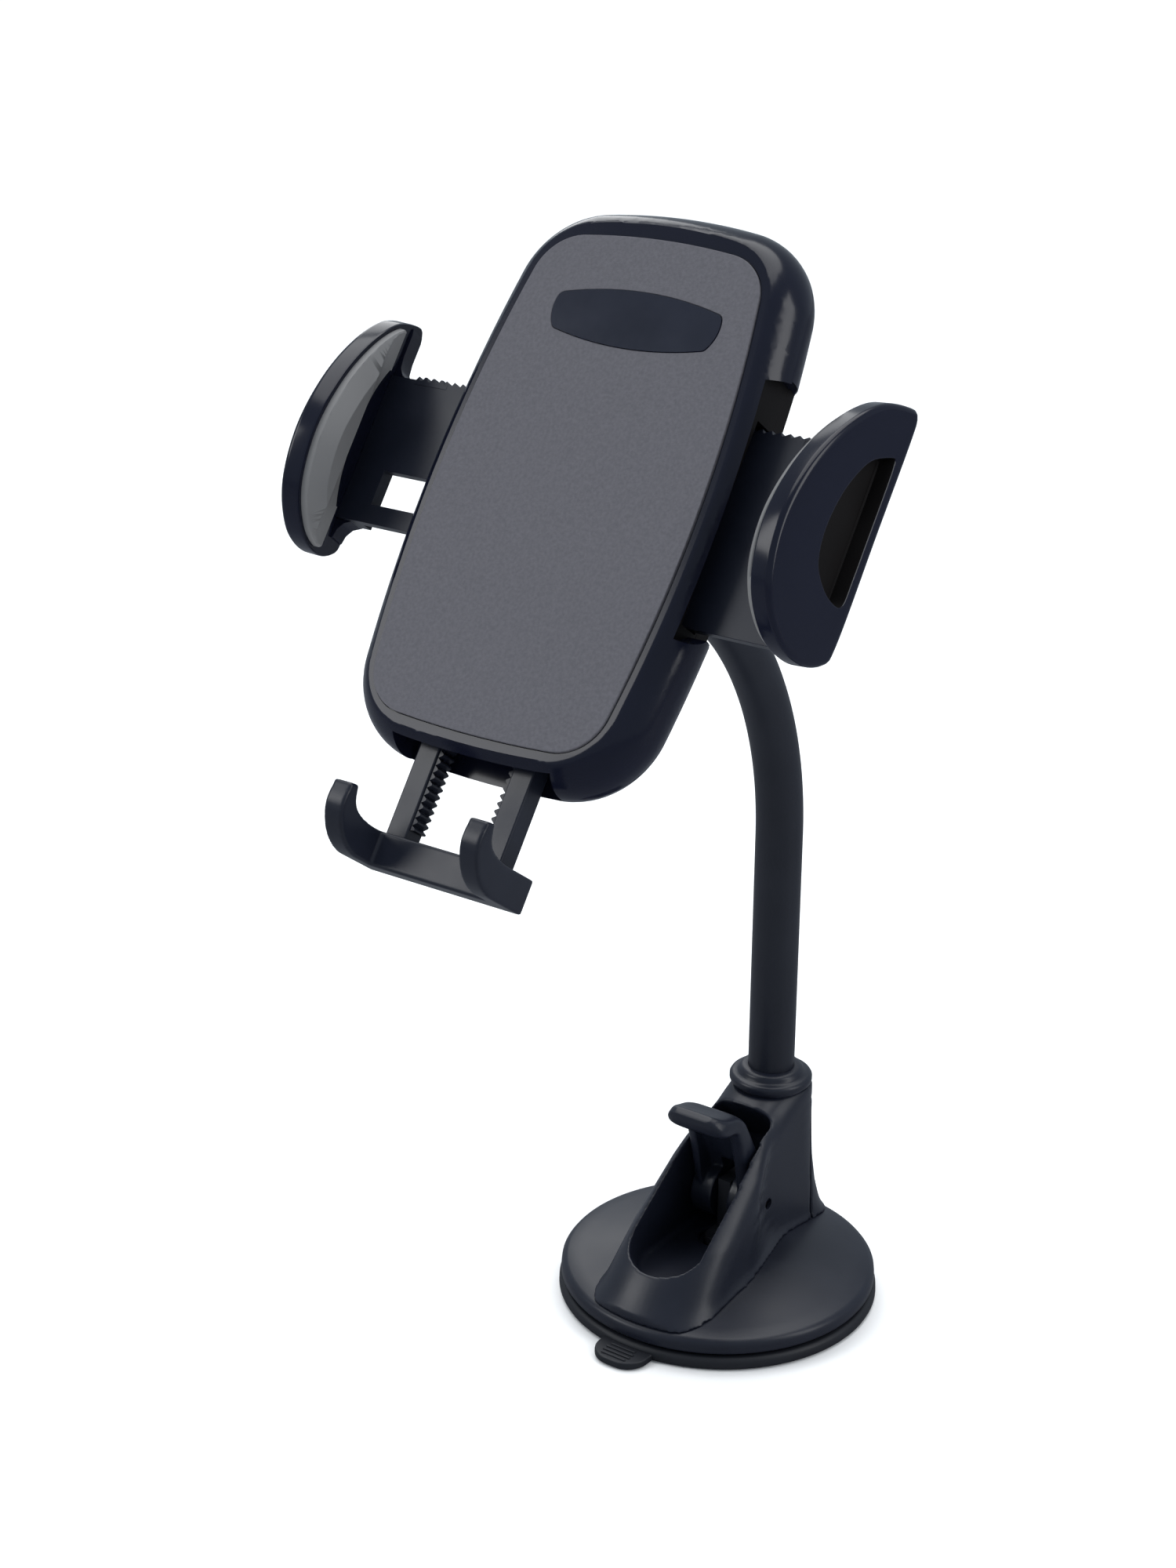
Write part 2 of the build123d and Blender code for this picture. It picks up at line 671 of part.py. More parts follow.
def gear_outline():
    """Outline of the pinion, one tooth pointing straight up."""
    tip_r = pinion_r + gear_module
    root_r = pinion_r - 1.25 * gear_module
    points = []
    for i in range(pinion_teeth):
        mid = pi / 2 + 2 * pi * i / pinion_teeth
        half_root = pi / pinion_teeth * 0.72
        half_tip = pi / pinion_teeth * 0.24
        for a, r in ((-half_root, root_r), (-half_tip, tip_r), (half_tip, tip_r),
                     (half_root, root_r)):
            points.append((r * cos(mid + a), r * sin(mid + a)))
    return make_face(Polyline(*points, close=True))


def rack_teeth(x0, x1, side, z0):
    """Rack teeth from x0 to x1, pointing at the pinion from above (side 1) or below."""
    tip = pinion_r - gear_module + rack_clear
    root = pinion_r + 1.25 * gear_module
    count = int((x1 - x0) / rack_pitch) + 2
    teeth = []
    for k in range(-count, count):
        mid = (k + 0.5) * rack_pitch
        if x0 + rack_pitch / 2 < mid < x1 - rack_pitch / 2:
            pts = [(mid - 0.62, root + 0.3), (mid - 0.52, root), (mid - 0.14, tip),
                   (mid + 0.14, tip), (mid + 0.52, root), (mid + 0.62, root + 0.3)]
            pts = [(x, pinion_y + side * y) for x, y in pts]
            tooth = make_face(Polyline(*pts, close=True))
            teeth.append(Pos(0, 0, z0) * extrude(tooth, arm_t))
    return teeth


def saw_teeth(x0, x1, y, pitch, height, z0, thick):
    """Saw teeth standing on the edge y, along x."""
    teeth = []
    for i in range(int((x1 - x0) / pitch)):
        x = x0 + i * pitch
        pts = [(x, y - 0.3), (x, y), (x + pitch * 0.8, y + height), (x + pitch, y),
               (x + pitch, y - 0.3)]
        face = make_face(Polyline(*pts, close=True))
        teeth.append(Pos(0, 0, z0) * extrude(face, thick))
    return teeth


def arm_plate(top, low, z_front, rack_side):
    """Plate of the right-hand arm with its window, rack and ratchet edge."""
    z0 = z_front - arm_t
    plate = block(-arm_tail, arm_end_x, low, top, z0, z_front)
    half = pinion_r + 1.25 * gear_module
    x_end = 47.0 if rack_side > 0 else 27.0
    window = block(-arm_tail + 3.5, x_end, pinion_y - half, pinion_y + half, z0 - 1, z_front + 1)
    plate = plate - window
    for tooth in rack_teeth(-arm_tail + 3.5, arm_travel + 5.0, rack_side, z0):
        plate = plate + tooth
    for tooth in saw_teeth(-arm_tail + 1, 41.0, top, ratchet_pitch, ratchet_h, z0, arm_t):
        plate = plate + tooth
    return plate


def lean(shape):
    """Turn a right-hand grip's piece from its own axes to its place on the head."""
    return Pos(grip_x, 0, grip_z) * (Rot(0, -grip_lean, 0) * (Pos(0, 0, -grip_z) * shape))


def grip_shell():
    """Right-hand grip: a D-shaped shell with an outer pocket and a lip to the front."""
    rim = across(grip_outline(), -rim_t, 0)
    rim = fillet(rim.edges().group_by(Axis.X)[-1], 1.0)
    pocket_edge = Spline((19.8, -9.2), (15.5, -2.6), (7.4, 1.4), (-1.6, 2.1), (-6.0, 0.6),
                         (-9.4, -5.0), (-8.8, -9.2))
    pocket = make_face(Curve() + [pocket_edge, Line((-8.8, -9.2), (19.8, -9.2))])
    rim = rim - across(pocket, -pocket_depth, 1)
    back = block(-grip_root, -rim_t + 0.5, -18.0, 27.5, -12.0, -10.4)
    return lean(rim + back)


def grip_root_block(top, low):
    """Block between a grip and its arm, inside the rim's rear half."""
    root = block(arm_end_x - 1.5, grip_x - 1.8, low, top, plates_back, arm_front)
    return root


def grip_pad():
    """Soft cushion on the inside of a grip, thinner to the rear."""
    base = grip_outline(-0.9)
    cushion = across(base, -rim_t - grip_pad_t, -rim_t)
    relief = make_face(Curve() + [
        ThreePointArc((17.0, -1.6), (2.5, 3.0), (-12.5, -1.6)),
        Polyline((-12.5, -1.6), (-12.5, -20), (17.0, -20), (17.0, -1.6))])
    cushion = cushion - across(relief, -30, 0) - block(-30, 5, -60, 60, -30, -2.0)
    bevel = Pos(-rim_t - grip_pad_t - 1.1, 0, 14.2) * (Rot(0, -45, 0) * Box(6, 80, 3.2))
    hollow = Pos(-rim_t - grip_pad_t - 5.2, 0, -1.0) * (Rot(90, 0, 0) * Cylinder(7.4, 80))
    return lean(cushion - bevel - hollow)


def arm(top, low, z_front, rack_side):
    """An arm's plate with the block that carries its grip."""
    body = arm_plate(top, low, z_front, rack_side) + grip_root_block(top, low)
    return body - lean(across(grip_outline(0.01), -rim_t, 30)) - lean(
        block(-grip_root, -rim_t + 0.5, -18.0, 27.5, -12.0, -10.4))


def pinion():
    z0 = plates_back
    gear = extrude(gear_outline(), 2 * arm_t + arm_gap)
    gear = gear - Cylinder(pinion_pin_r + running_gap, 30)
    return on_head(Pos(0, pinion_y, z0) * gear)


def pinion_pin():
    return on_head(rod(pinion_pin_r, -shell_depth + 1, arm_front + 1.2, 0, pinion_y))


# ---- foot ---------------------------------------------------------------------------

def foot_hook():
    """Right-hand hook: a curved toe that stands up in front of the phone."""
    back = [(bar_top, bar_back), (bar_low, bar_back), (bar_low, 0.8)]
    outside = Spline((bar_low, 0.8), (-75.6, 6.6), (-70.4, hook_front), (hook_top, hook_front - 0.3),
                     tangents=[(0.15, 1), (1, -0.1)])
    tip = Line((hook_top, hook_front - 0.3), (hook_top + 0.2, hook_front - 2.6))
    inside = Spline((hook_top + 0.2, hook_front - 2.6), (-69.3, hook_front - hook_t - 1.0),
                    (bar_top, -1.0), (bar_top, bar_back), tangents=[(-1, -0.3), (0, -1)])
    face = make_face(Curve() + [Polyline(*back), outside, tip, inside])
    return across(face, hook_inner, bar_half)


def foot_bracket():
    """Two toothed legs joined by a crossbar with a hook at each end."""
    z0 = leg_front - leg_t
    bar = block(-bar_half, bar_half, bar_low, bar_top, bar_back, bar_front)
    foot = bar
    for side in (1, -1):
        leg = block(leg_inner, leg_outer, bar_low + 2, leg_top, z0, leg_front)
        for i in range(int((leg_top - bar_top - 6) / leg_pitch)):
            y = bar_top + 3 + i * leg_pitch
            pts = [(leg_inner + 0.2, y), (leg_inner, y), (leg_inner - leg_tooth, y + 1.2),
                   (leg_inner - leg_tooth, y + 1.8), (leg_inner, y + 2.4), (leg_inner + 0.2, y + 2.4)]
            tooth = Pos(0, 0, z0) * extrude(make_face(Polyline(*pts, close=True)), leg_t)
            leg = leg + tooth
        leg = leg + foot_hook()
        foot = foot + (leg if side > 0 else mirrored(leg))
    return on_head(foot)


def foot_detents():
    """Two leaf catches, fixed in the shell, that click on the legs' teeth."""
    x = leg_inner - leg_tooth - slide_gap
    z0 = leg_front - leg_t + 0.6
    z1 = leg_front - 0.6
    leaf = block(x - 1.0, x - 0.2, -46.0, -33.0, z0, z1) + block(x - 1.6, x, -44.5, -43.2, z0, z1)
    foot = block(0.6, x - 0.2, -34.5, -33.0, z0, z1)
    catch = leaf + foot
    post = rod(1.5, -shell_depth + back_t, z1, 0, -33.75)
    return on_head(catch + mirrored(catch) + post)


# ---- release ------------------------------------------------------------------------

def release_button():
    """Push button on the back that lifts the pawl."""
    cap = rod(button_r, -shell_depth - button_out, -14.2, 0, button_y)
    cap = fillet(cap.edges().group_by(Axis.Z)[0], 0.8)
    flange = rod(button_r + 1.1, -13.2, -12.4, 0, button_y)
    stem = rod(1.6, -14.4, -11.6, 0, button_y)
    return on_head(cap + rod(button_r - 0.8, -14.4, -13.0, 0, button_y) + flange + stem)


def button_spring():
    """Short return coil in front of the button, drawn at its pressed length."""
    wire = 0.35
    coil_r = 3.6
    low = -12.4 + button_travel + slide_gap
    high = -pad_t - floor_t
    path = Helix(pitch=(high - low - 2.4 * wire) / 5, height=high - low - 2.4 * wire, radius=coil_r)
    section = Plane(origin=path @ 0, z_dir=path % 0) * Circle(wire)
    return on_head(Pos(0, button_y, low + 1.2 * wire) * sweep(section, path=path))


def ratchet_pawl():
    """Bar above the arms whose teeth, lifted by the button, let the arms slide."""
    front_low = left_arm_top + ratchet_h + ratchet_clear
    rear_low = right_arm_top + ratchet_h + ratchet_clear
    z_mid = arm_front - arm_t - arm_gap / 2
    z_back = plates_back
    top = rear_low + 3.6
    bar = block(-9, 9, front_low + 0.6, top, z_mid, arm_front) + block(
        -9, 9, rear_low + 0.6, top, z_back, z_mid)
    for i in range(4):
        x = -8 + 4.4 * i
        tooth = make_face(Polyline((x, 0.8), (x + 0.8, 0), (x + 1.6, 0.8), close=True))
        bar = bar + Pos(0, front_low, z_mid) * extrude(tooth, arm_front - z_mid)
        bar = bar + Pos(0, rear_low, z_back) * extrude(tooth, z_mid - z_back)
    return on_head(bar)


# ---- write the pieces ---------------------------------------------------------------

def all_parts():
    housing, cover = tower_parts()
    front, back = head_shells()
    left_z = arm_front
    right_z = arm_front - arm_t - arm_gap
    left = mirrored(arm(left_arm_top, left_arm_low, left_z, 1))
    parts = {
        "suction_cup": suction_cup(),
        "base_dish": base_dish(),
        "tower_housing": housing,
        "tower_rear_cover": cover,
        "neck_collar": neck_collar(),
        "lever_pin": lever_pin(),
        "base_screws": base_screws(),
        "cam_lever": cam_lever(),
        "suction_stem": suction_stem(),
        "stem_spring": stem_spring(),
        "neck_ferrule": neck_ferrule(),
        "ball_stud": ball_stud(),
        "ball_seat": ball_seat(),
        "friction_disc": friction_disc(),
        "socket_nut": socket_nut(),
        "front_shell": front,
        "back_shell": back,
        "face_pad": face_pad(),
        "label_plate": label_plate(),
        "shell_screws": shell_screws(),
        "left_arm": on_head(left),
        "right_arm": on_head(arm(right_arm_top, right_arm_low, right_z, -1)),
        "left_grip": on_head(mirrored(grip_shell())),
        "right_grip": on_head(grip_shell()),
        "left_grip_pad": on_head(mirrored(grip_pad())),
        "right_grip_pad": on_head(grip_pad()),
        "pinion": pinion(),
        "pinion_pin": pinion_pin(),
        "foot_bracket": foot_bracket(),
        "foot_detents": foot_detents(),
        "release_button": release_button(),
        "button_spring": button_spring(),
        "ratchet_pawl": ratchet_pawl(),
    }
    for i in range(segment_count):
        parts[f"neck_sleeve_{i + 1}"] = neck_segment(i, neck_r, core_r)
        parts[f"neck_core_{i + 1}"] = neck_segment(i, core_r, core_bore)
    return parts


os.makedirs("parts", exist_ok=True)
for name, shape in all_parts().items():
    export_step(shape, f"parts/{name}.step")
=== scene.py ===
from math import cos, pi, radians, sin

import bmesh
import bpy
from mathutils import Matrix, Vector


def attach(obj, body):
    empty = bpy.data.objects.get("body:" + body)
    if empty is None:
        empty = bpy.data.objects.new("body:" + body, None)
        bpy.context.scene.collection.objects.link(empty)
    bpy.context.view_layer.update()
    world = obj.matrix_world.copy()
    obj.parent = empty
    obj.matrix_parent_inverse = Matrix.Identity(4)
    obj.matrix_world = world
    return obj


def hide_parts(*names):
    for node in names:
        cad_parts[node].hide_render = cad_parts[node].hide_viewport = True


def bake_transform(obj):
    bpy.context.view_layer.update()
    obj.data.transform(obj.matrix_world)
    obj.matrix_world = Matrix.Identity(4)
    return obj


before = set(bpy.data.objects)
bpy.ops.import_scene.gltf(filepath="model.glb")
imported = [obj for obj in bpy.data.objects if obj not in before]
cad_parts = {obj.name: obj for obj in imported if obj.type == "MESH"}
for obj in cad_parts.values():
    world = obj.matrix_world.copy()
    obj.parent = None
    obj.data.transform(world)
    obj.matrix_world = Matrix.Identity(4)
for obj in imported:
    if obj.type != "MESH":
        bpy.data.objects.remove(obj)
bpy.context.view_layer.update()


# ---- Suction cup ---------------------------------------------------------------------
# A soft rubber disc, hollowed a little underneath so that it grips glass, with a thin
# lip all round. A ribbed tab at the front is moulded with it, to peel it off by.

def put_down_everything():
    if bpy.context.object and bpy.context.object.mode != "OBJECT":
        bpy.ops.object.mode_set(mode="OBJECT")
    bpy.ops.object.select_all(action="DESELECT")


def pick_up(piece):
    put_down_everything()
    piece.select_set(True)
    bpy.context.view_layer.objects.active = piece


def settle(piece, name):
    """Puts a modelled piece's place into its mesh, with its faces pointing outwards."""
    pick_up(piece)
    bpy.ops.object.transform_apply(location=True, rotation=True, scale=True)
    bpy.ops.object.mode_set(mode="EDIT")
    bpy.ops.mesh.select_all(action="SELECT")
    bpy.ops.mesh.remove_doubles(threshold=0.000004)
    bpy.ops.mesh.dissolve_degenerate(threshold=0.000002)
    bpy.ops.mesh.select_all(action="SELECT")
    bpy.ops.mesh.normals_make_consistent(inside=False)
    bpy.ops.object.mode_set(mode="OBJECT")
    piece.name = name
    piece.data.name = name
    return piece


def turned(name, outline, steps=128, centre=(0, 0)):
    """A lathe-turned piece: a ring of points is laid on the (radius, height) outline
    and spun round the upright axis through the centre. Millimetres."""
    put_down_everything()
    bpy.ops.mesh.primitive_circle_add(vertices=len(outline), radius=0.01)
    piece = bpy.context.object
    bpy.ops.object.mode_set(mode="EDIT")
    ring = bmesh.from_edit_mesh(piece.data)
    ring.verts.ensure_lookup_table()
    for corner, (radius, height) in zip(ring.verts, outline):
        corner.co = Vector((centre[0] + radius, centre[1], height)) / 1000
    bmesh.update_edit_mesh(piece.data)
    bpy.ops.mesh.select_all(action="SELECT")
    bpy.ops.mesh.spin(steps=steps, angle=2 * pi, axis=(0, 0, 1),
                      center=(centre[0] / 1000, centre[1] / 1000, 0))
    return settle(piece, name)


def apply_all(piece):
    pick_up(piece)
    for modifier in list(piece.modifiers):
        bpy.ops.object.modifier_apply(modifier=modifier.name)


def round_edges(piece, wanted, radius):
    """Rounds the edges whose two ends pass the test, in millimetres."""
    pick_up(piece)
    bpy.ops.object.mode_set(mode="EDIT")
    bpy.ops.mesh.select_mode(type="EDGE")
    bpy.ops.mesh.select_all(action="DESELECT")
    shape = bmesh.from_edit_mesh(piece.data)
    for edge in shape.edges:
        if wanted(edge.verts[0].co * 1000, edge.verts[1].co * 1000):
            edge.select_set(True)
    bmesh.update_edit_mesh(piece.data)
    bpy.ops.mesh.bevel(offset=radius / 1000, segments=8, affect="EDGES")
    bpy.ops.mesh.select_mode(type="VERT")
    bpy.ops.object.mode_set(mode="OBJECT")


def shade_evenly(piece, above=38):
    """Smooth rounds and curves, with the flat faces kept flat beside them."""
    pick_up(piece)
    bpy.ops.object.shade_smooth_by_angle(angle=radians(above))
    even = piece.modifiers.new("flat faces stay flat", "WEIGHTED_NORMAL")
    even.keep_sharp = True
    even.weight = 80
    apply_all(piece)
    return piece


def ease_edges(piece, width, segments=3, above=32):
    """Breaks every edge sharper than the angle with a small round, in millimetres."""
    bevel = piece.modifiers.new("eased edges", "BEVEL")
    bevel.width = width / 1000
    bevel.segments = segments
    bevel.limit_method = "ANGLE"
    bevel.angle_limit = radians(above)
    bevel.miter_outer = "MITER_ARC"
    apply_all(piece)
    return shade_evenly(piece)


def bar(name, x, y, z, rounding=0.0, segments=3):
    """A bar between its low and high faces, with its edges rounded. Millimetres."""
    put_down_everything()
    centre = [(span[0] + span[1]) / 2000 for span in (x, y, z)]
    bpy.ops.mesh.primitive_cube_add(size=1, location=centre)
    piece = bpy.context.object
    piece.scale = [(span[1] - span[0]) / 1000 for span in (x, y, z)]
    settle(piece, name)
    if rounding:
        bpy.ops.object.mode_set(mode="EDIT")
        bpy.ops.mesh.select_all(action="SELECT")
        bpy.ops.mesh.bevel(offset=rounding / 1000, segments=segments, affect="EDGES")
        bpy.ops.object.mode_set(mode="OBJECT")
    return piece


def cut(piece, *tools, how="DIFFERENCE"):
    """Cuts, joins or keeps what the tools share with a piece, then throws them away."""
    for tool in tools:
        boolean = piece.modifiers.new("tool", "BOOLEAN")
        boolean.operation = how
        boolean.solver = "EXACT"
        boolean.object = tool
        apply_all(piece)
        bpy.data.objects.remove(tool)
    return piece


def moulded_surface():
    """Node group: the faint mottling and fine grain that every moulded surface has."""
    group = bpy.data.node_groups.new("moulded surface", "ShaderNodeTree")
    face = group.interface
    face.new_socket("Colour", in_out="INPUT", socket_type="NodeSocketColor")
    face.new_socket("Mottle Colour", in_out="INPUT", socket_type="NodeSocketColor")
    for title, value in (("Mottle Scale", 90.0), ("Grain Scale", 2600.0), ("Roughness", 0.4),
                         ("Roughness Spread", 0.1)):
        socket = face.new_socket(title, in_out="INPUT", socket_type="NodeSocketFloat")
        socket.default_value = value
    face.new_socket("Colour", in_out="OUTPUT", socket_type="NodeSocketColor")
    face.new_socket("Roughness", in_out="OUTPUT", socket_type="NodeSocketFloat")
    face.new_socket("Height", in_out="OUTPUT", socket_type="NodeSocketFloat")
    node = group.nodes.new
    wire = group.links.new
    given = node("NodeGroupInput")
    result = node("NodeGroupOutput")
    place = node("ShaderNodeTexCoord")
    mottle = node("ShaderNodeTexNoise")
    mottle.inputs["Detail"].default_value = 4
    wire(place.outputs["Object"], mottle.inputs["Vector"])
    wire(given.outputs["Mottle Scale"], mottle.inputs["Scale"])
    grain = node("ShaderNodeTexNoise")
    grain.inputs["Detail"].default_value = 2
    wire(place.outputs["Object"], grain.inputs["Vector"])
    wire(given.outputs["Grain Scale"], grain.inputs["Scale"])
    spread = node("ShaderNodeMapRange")
    spread.inputs["From Min"].default_value = 0.3
    spread.inputs["From Max"].default_value = 0.7
    wire(mottle.outputs["Fac"], spread.inputs["Value"])
    blend = node("ShaderNodeMix")
    blend.data_type = "RGBA"
    wire(spread.outputs["Result"], blend.inputs["Factor"])
    wire(given.outputs["Colour"], blend.inputs["A"])
    wire(given.outputs["Mottle Colour"], blend.inputs["B"])
    wire(blend.outputs["Result"], result.inputs["Colour"])
    both = node("ShaderNodeMath")
    both.operation = "ADD"
    wire(spread.outputs["Result"], both.inputs[0])
    wire(grain.outputs["Fac"], both.inputs[1])
    swing = node("ShaderNodeMath")
    swing.operation = "MULTIPLY_ADD"
    wire(both.outputs["Value"], swing.inputs[0])
    wire(given.outputs["Roughness Spread"], swing.inputs[1])
    wire(given.outputs["Roughness"], swing.inputs[2])
    wire(swing.outputs["Value"], result.inputs["Roughness"])
    wire(grain.outputs["Fac"], result.inputs["Height"])
    return group


surface_group = moulded_surface()


def finish(name, colour, mottle, roughness, spread=0.06, grain=2600, bump=0.25, mottle_scale=90,
           grain_depth=0.00003, **steady):
    """A moulded material. The steady values are the same all over, such as its coat."""
    material = bpy.data.materials.new(name)
    material.use_nodes = True
    tree = material.node_tree
    shader = tree.nodes["Principled BSDF"]
    texture = tree.nodes.new("ShaderNodeGroup")
    texture.node_tree = surface_group
    texture.inputs["Colour"].default_value = (*colour, 1)
    texture.inputs["Mottle Colour"].default_value = (*mottle, 1)
    texture.inputs["Mottle Scale"].default_value = mottle_scale
    texture.inputs["Grain Scale"].default_value = grain
    texture.inputs["Roughness"].default_value = roughness - spread
    texture.inputs["Roughness Spread"].default_value = spread
    tree.links.new(texture.outputs["Colour"], shader.inputs["Base Color"])
    tree.links.new(texture.outputs["Roughness"], shader.inputs["Roughness"])
    relief = tree.nodes.new("ShaderNodeBump")
    relief.inputs["Strength"].default_value = bump
    relief.inputs["Distance"].default_value = grain_depth
    tree.links.new(texture.outputs["Height"], relief.inputs["Height"])
    tree.links.new(relief.outputs["Normal"], shader.inputs["Normal"])
    for socket, value in steady.items():
        shader.inputs[socket.replace("_", " ")].default_value = value
    return material


def paint(piece, material):
    piece.data.materials.clear()
    piece.data.materials.append(material)


def stands_for(piece, body, slot, *nodes):
    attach(piece, body)
    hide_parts(*nodes)


cup_rubber = finish("cup rubber", (0.008, 0.0092, 0.013), (0.011, 0.0125, 0.0175), 0.48,
                    spread=0.08, grain=1800, bump=0.35, Specular_IOR_Level=0.3)
cup = turned("cup", [(0, 0.55), (12, 0.5), (26, 0.3), (33.6, 0.0), (34.8, 0.05), (35.7, 0.4),
                     (36.0, 1.0), (35.95, 2.2), (35.5, 2.9), (34.6, 3.2), (12.6, 3.2),
                     (12.6, 1.0), (0, 1.0)])
peel_tab = bar("peel tab", (-6.4, 6.4), (-42.4, -32.5), (0.25, 1.9))
round_edges(peel_tab, lambda a, b: abs(a.z - b.z) > 1 and a.y < -40, 5.2)
ease_edges(peel_tab, 0.35)
cut(cup, peel_tab, how="UNION")
for i in range(4):
    tab_rib = bar("tab rib", (-3.7 + 0.35 * abs(i - 1.5), 3.7 - 0.35 * abs(i - 1.5)),
                  (-41.2 + 1.25 * i, -40.6 + 1.25 * i), (1.5, 2.25), 0.18, 2)
    cut(cup, tab_rib, how="UNION")
ease_edges(cup, 0.15, 2, 40)
paint(cup, cup_rubber)
stands_for(cup, "base", "cup_rubber", "suction_cup")


# ---- Dish --------------------------------------------------------------------------
# The hard plastic dome over the rubber, moulded with an upright rim and a gently
# sloping top. Its underside is hollow, and a guide hole in its middle takes the stem.

def paint_cad(material, *nodes):
    """Gives CAD pieces that stay as they are their finish."""
    for name in nodes:
        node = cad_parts[name]
        for place in node.material_slots:
            place.link = "OBJECT"
            place.material = material


satin_plastic = finish("satin plastic", (0.0075, 0.0092, 0.0165), (0.0098, 0.0120, 0.0210), 0.34,
                       spread=0.07, grain=3200, bump=0.22, Specular_IOR_Level=0.32)
dish = turned("dish", [(3.4, 10.8), (13.5, 10.8), (16.5, 10.45), (25.0, 8.98), (31.0, 7.92),
                       (34.0, 7.36), (34.9, 7.0), (35.4, 6.35), (35.5, 5.4), (35.5, 4.35),
                       (35.2, 3.92), (34.6, 3.9), (32.7, 3.9), (32.6, 3.2), (31.1, 3.2),
                       (31.0, 6.2), (14.0, 9.0), (3.4, 9.0)], steps=160)
bpy.ops.object.shade_smooth_by_angle(angle=radians(35))
paint(dish, satin_plastic)
stands_for(dish, "base", "base_plastic", "base_dish")

bright_steel = finish("bright steel", (0.42, 0.42, 0.43), (0.52, 0.52, 0.53), 0.28, spread=0.08,
                      grain=5200, bump=0.12, Metallic=1.0)
paint_cad(bright_steel, "base_screws")


# ---- Stem and its spring -------------------------------------------------------------
# The stem is moulded into the cup by its plate. Its blade has a window that rides on
# the lever's eccentric, and a wire coil round its foot pushes the cup back down.

dark_plastic = finish("dark plastic", (0.012, 0.013, 0.017), (0.016, 0.018, 0.023), 0.42,
                      spread=0.06, grain=2400)
paint_cad(dark_plastic, "suction_stem")
paint_cad(bright_steel, "stem_spring")


# ---- Tower -------------------------------------------------------------------------
# A boot-shaped moulding on the dish. Its hood opens in a long rounded recess for the
# lever, and a flat-sided column behind it carries the gooseneck. The rear is a
# separate cover, so a fine seam runs down behind the side panels.

def flow(piece, grain, passes):
    """Lets a moulding's edges run soft, as a worn mould does: the solid is rebuilt on a
    fine even grid of the given size in millimetres and relaxed."""
    grid = piece.modifiers.new("even grid", "REMESH")
    grid.mode = "VOXEL"
    grid.voxel_size = grain / 1000
    relax = piece.modifiers.new("relax", "SMOOTH")
    relax.factor = 0.5
    relax.iterations = passes
    apply_all(piece)
    bpy.ops.object.shade_smooth()


def between(t, low, high):
    """0 below low, 1 above high, and a soft step from one to the other."""
    u = min(max((t - low) / (high - low), 0), 1)
    return u * u * (3 - 2 * u)


def along(height, stops):
    """Reads a value off a few (height, value) stops."""
    for (h0, v0), (h1, v1) in zip(stops, stops[1:]):
        if height <= h1:
            u = max((height - h0) / (h1 - h0), 0)
            return v0 + (v1 - v0) * u
    return stops[-1][1]


tower_top = 43.3
neck_y = 20.3
dish_crown = 10.85
crown_r = 14
nose = [(6.0, -36.0), (9.0, -34.6), (14.0, -30.4), (20.2, -24.6), (26.0, -17.2), (31.3, -10.4),
        (36.0, -3.4), (40.0, 4.0), (43.3, 11.0)]
heel = [(6.0, 35.6), (10.0, 34.4), (17.0, 31.9), (25.0, 30.2), (34.0, 29.6), (43.3, 29.5)]
foot_level = 7
hood_half = 14.25
hood_taper = 0.105
column_half = 9.05
column_taper = 0.012
nose_round = 14.0
heel_round = 9.4
half_plan = 44
panel_front = [(6.0, 1.0), (17.3, 1.6), (28.5, 3.2), (36.5, 7.4), (43.3, 12.5)]


def tower_outline(height):
    """The tower's plan at a height, as (x, y) from the nose round to the nose."""
    front = along(height, nose)
    back = along(height, heel)
    panel = along(height, panel_front)
    hood = hood_half - hood_taper * (height - foot_level)
    column = column_half + column_taper * (tower_top - height)
    right = []
    for i in range(half_plan + 1):
        y = front + (back - front) * (1 - cos(pi * i / half_plan)) / 2
        soft = max(0, 1 - (height - foot_level) / 13)
        wide = hood + (column - hood) * between(y, panel - 6.0 - 9 * soft, panel + 0.8 + 15 * soft)
        u = min((y - front) / nose_round, 1)
        v = min((back - y) / heel_round, 1)
        wide *= max(1 - (1 - u) ** 2.3, 0) ** (1 / 2.1)
        wide *= max(1 - (1 - v) ** 2.5, 0) ** (1 / 2.3)
        right.append((wide, y))
    return right + [(-x, y) for x, y in right[-2:0:-1]]


plan_middle = 2
dish_fall = 0.174
dish_edge = 34.6
flare = 1.7
flare_halves_over = 0.9


def flared(x, y, height):
    """Spreads the tower's foot so that it runs softly out onto the dish."""
    reach = Vector((x, y - plan_middle, 0)).length
    slope = dish_fall * (Vector((x, y, 0)).length - crown_r)
    above = height - min(dish_crown, dish_crown - slope)
    wider = 1 + flare * 0.5 ** (max(above, 0) / flare_halves_over) / reach
    x, y = x * wider, plan_middle + (y - plan_middle) * wider
    inside = min(1, dish_edge / Vector((x, y, 0)).length)
    return x * inside, y * inside


levels = [6.0, 7.2, 7.9, 8.6, 9.4, 10.2, 11.0, 11.8, 12.8, 14.5, 17.0, 20.5, 24.0, 27.5, 31.0,
          34.5, 38.0, 41.0, 42.7, 43.3]
put_down_everything()
bpy.ops.mesh.primitive_circle_add(vertices=2 * half_plan, radius=0.01, fill_type="NGON")
tower = bpy.context.object
bpy.ops.object.mode_set(mode="EDIT")
for i, level in enumerate(levels):
    if i:
        bpy.ops.mesh.extrude_region_move()
    stack = bmesh.from_edit_mesh(tower.data)
    top_ring = [v for v in stack.verts if v.select]
    top_ring.sort(key=lambda v: v.index)
    for corner, spot in zip(top_ring, tower_outline(level)):
        corner.co = Vector((*flared(*spot, level), level)) / 1000
    bmesh.update_edit_mesh(tower.data)
settle(tower, "tower")

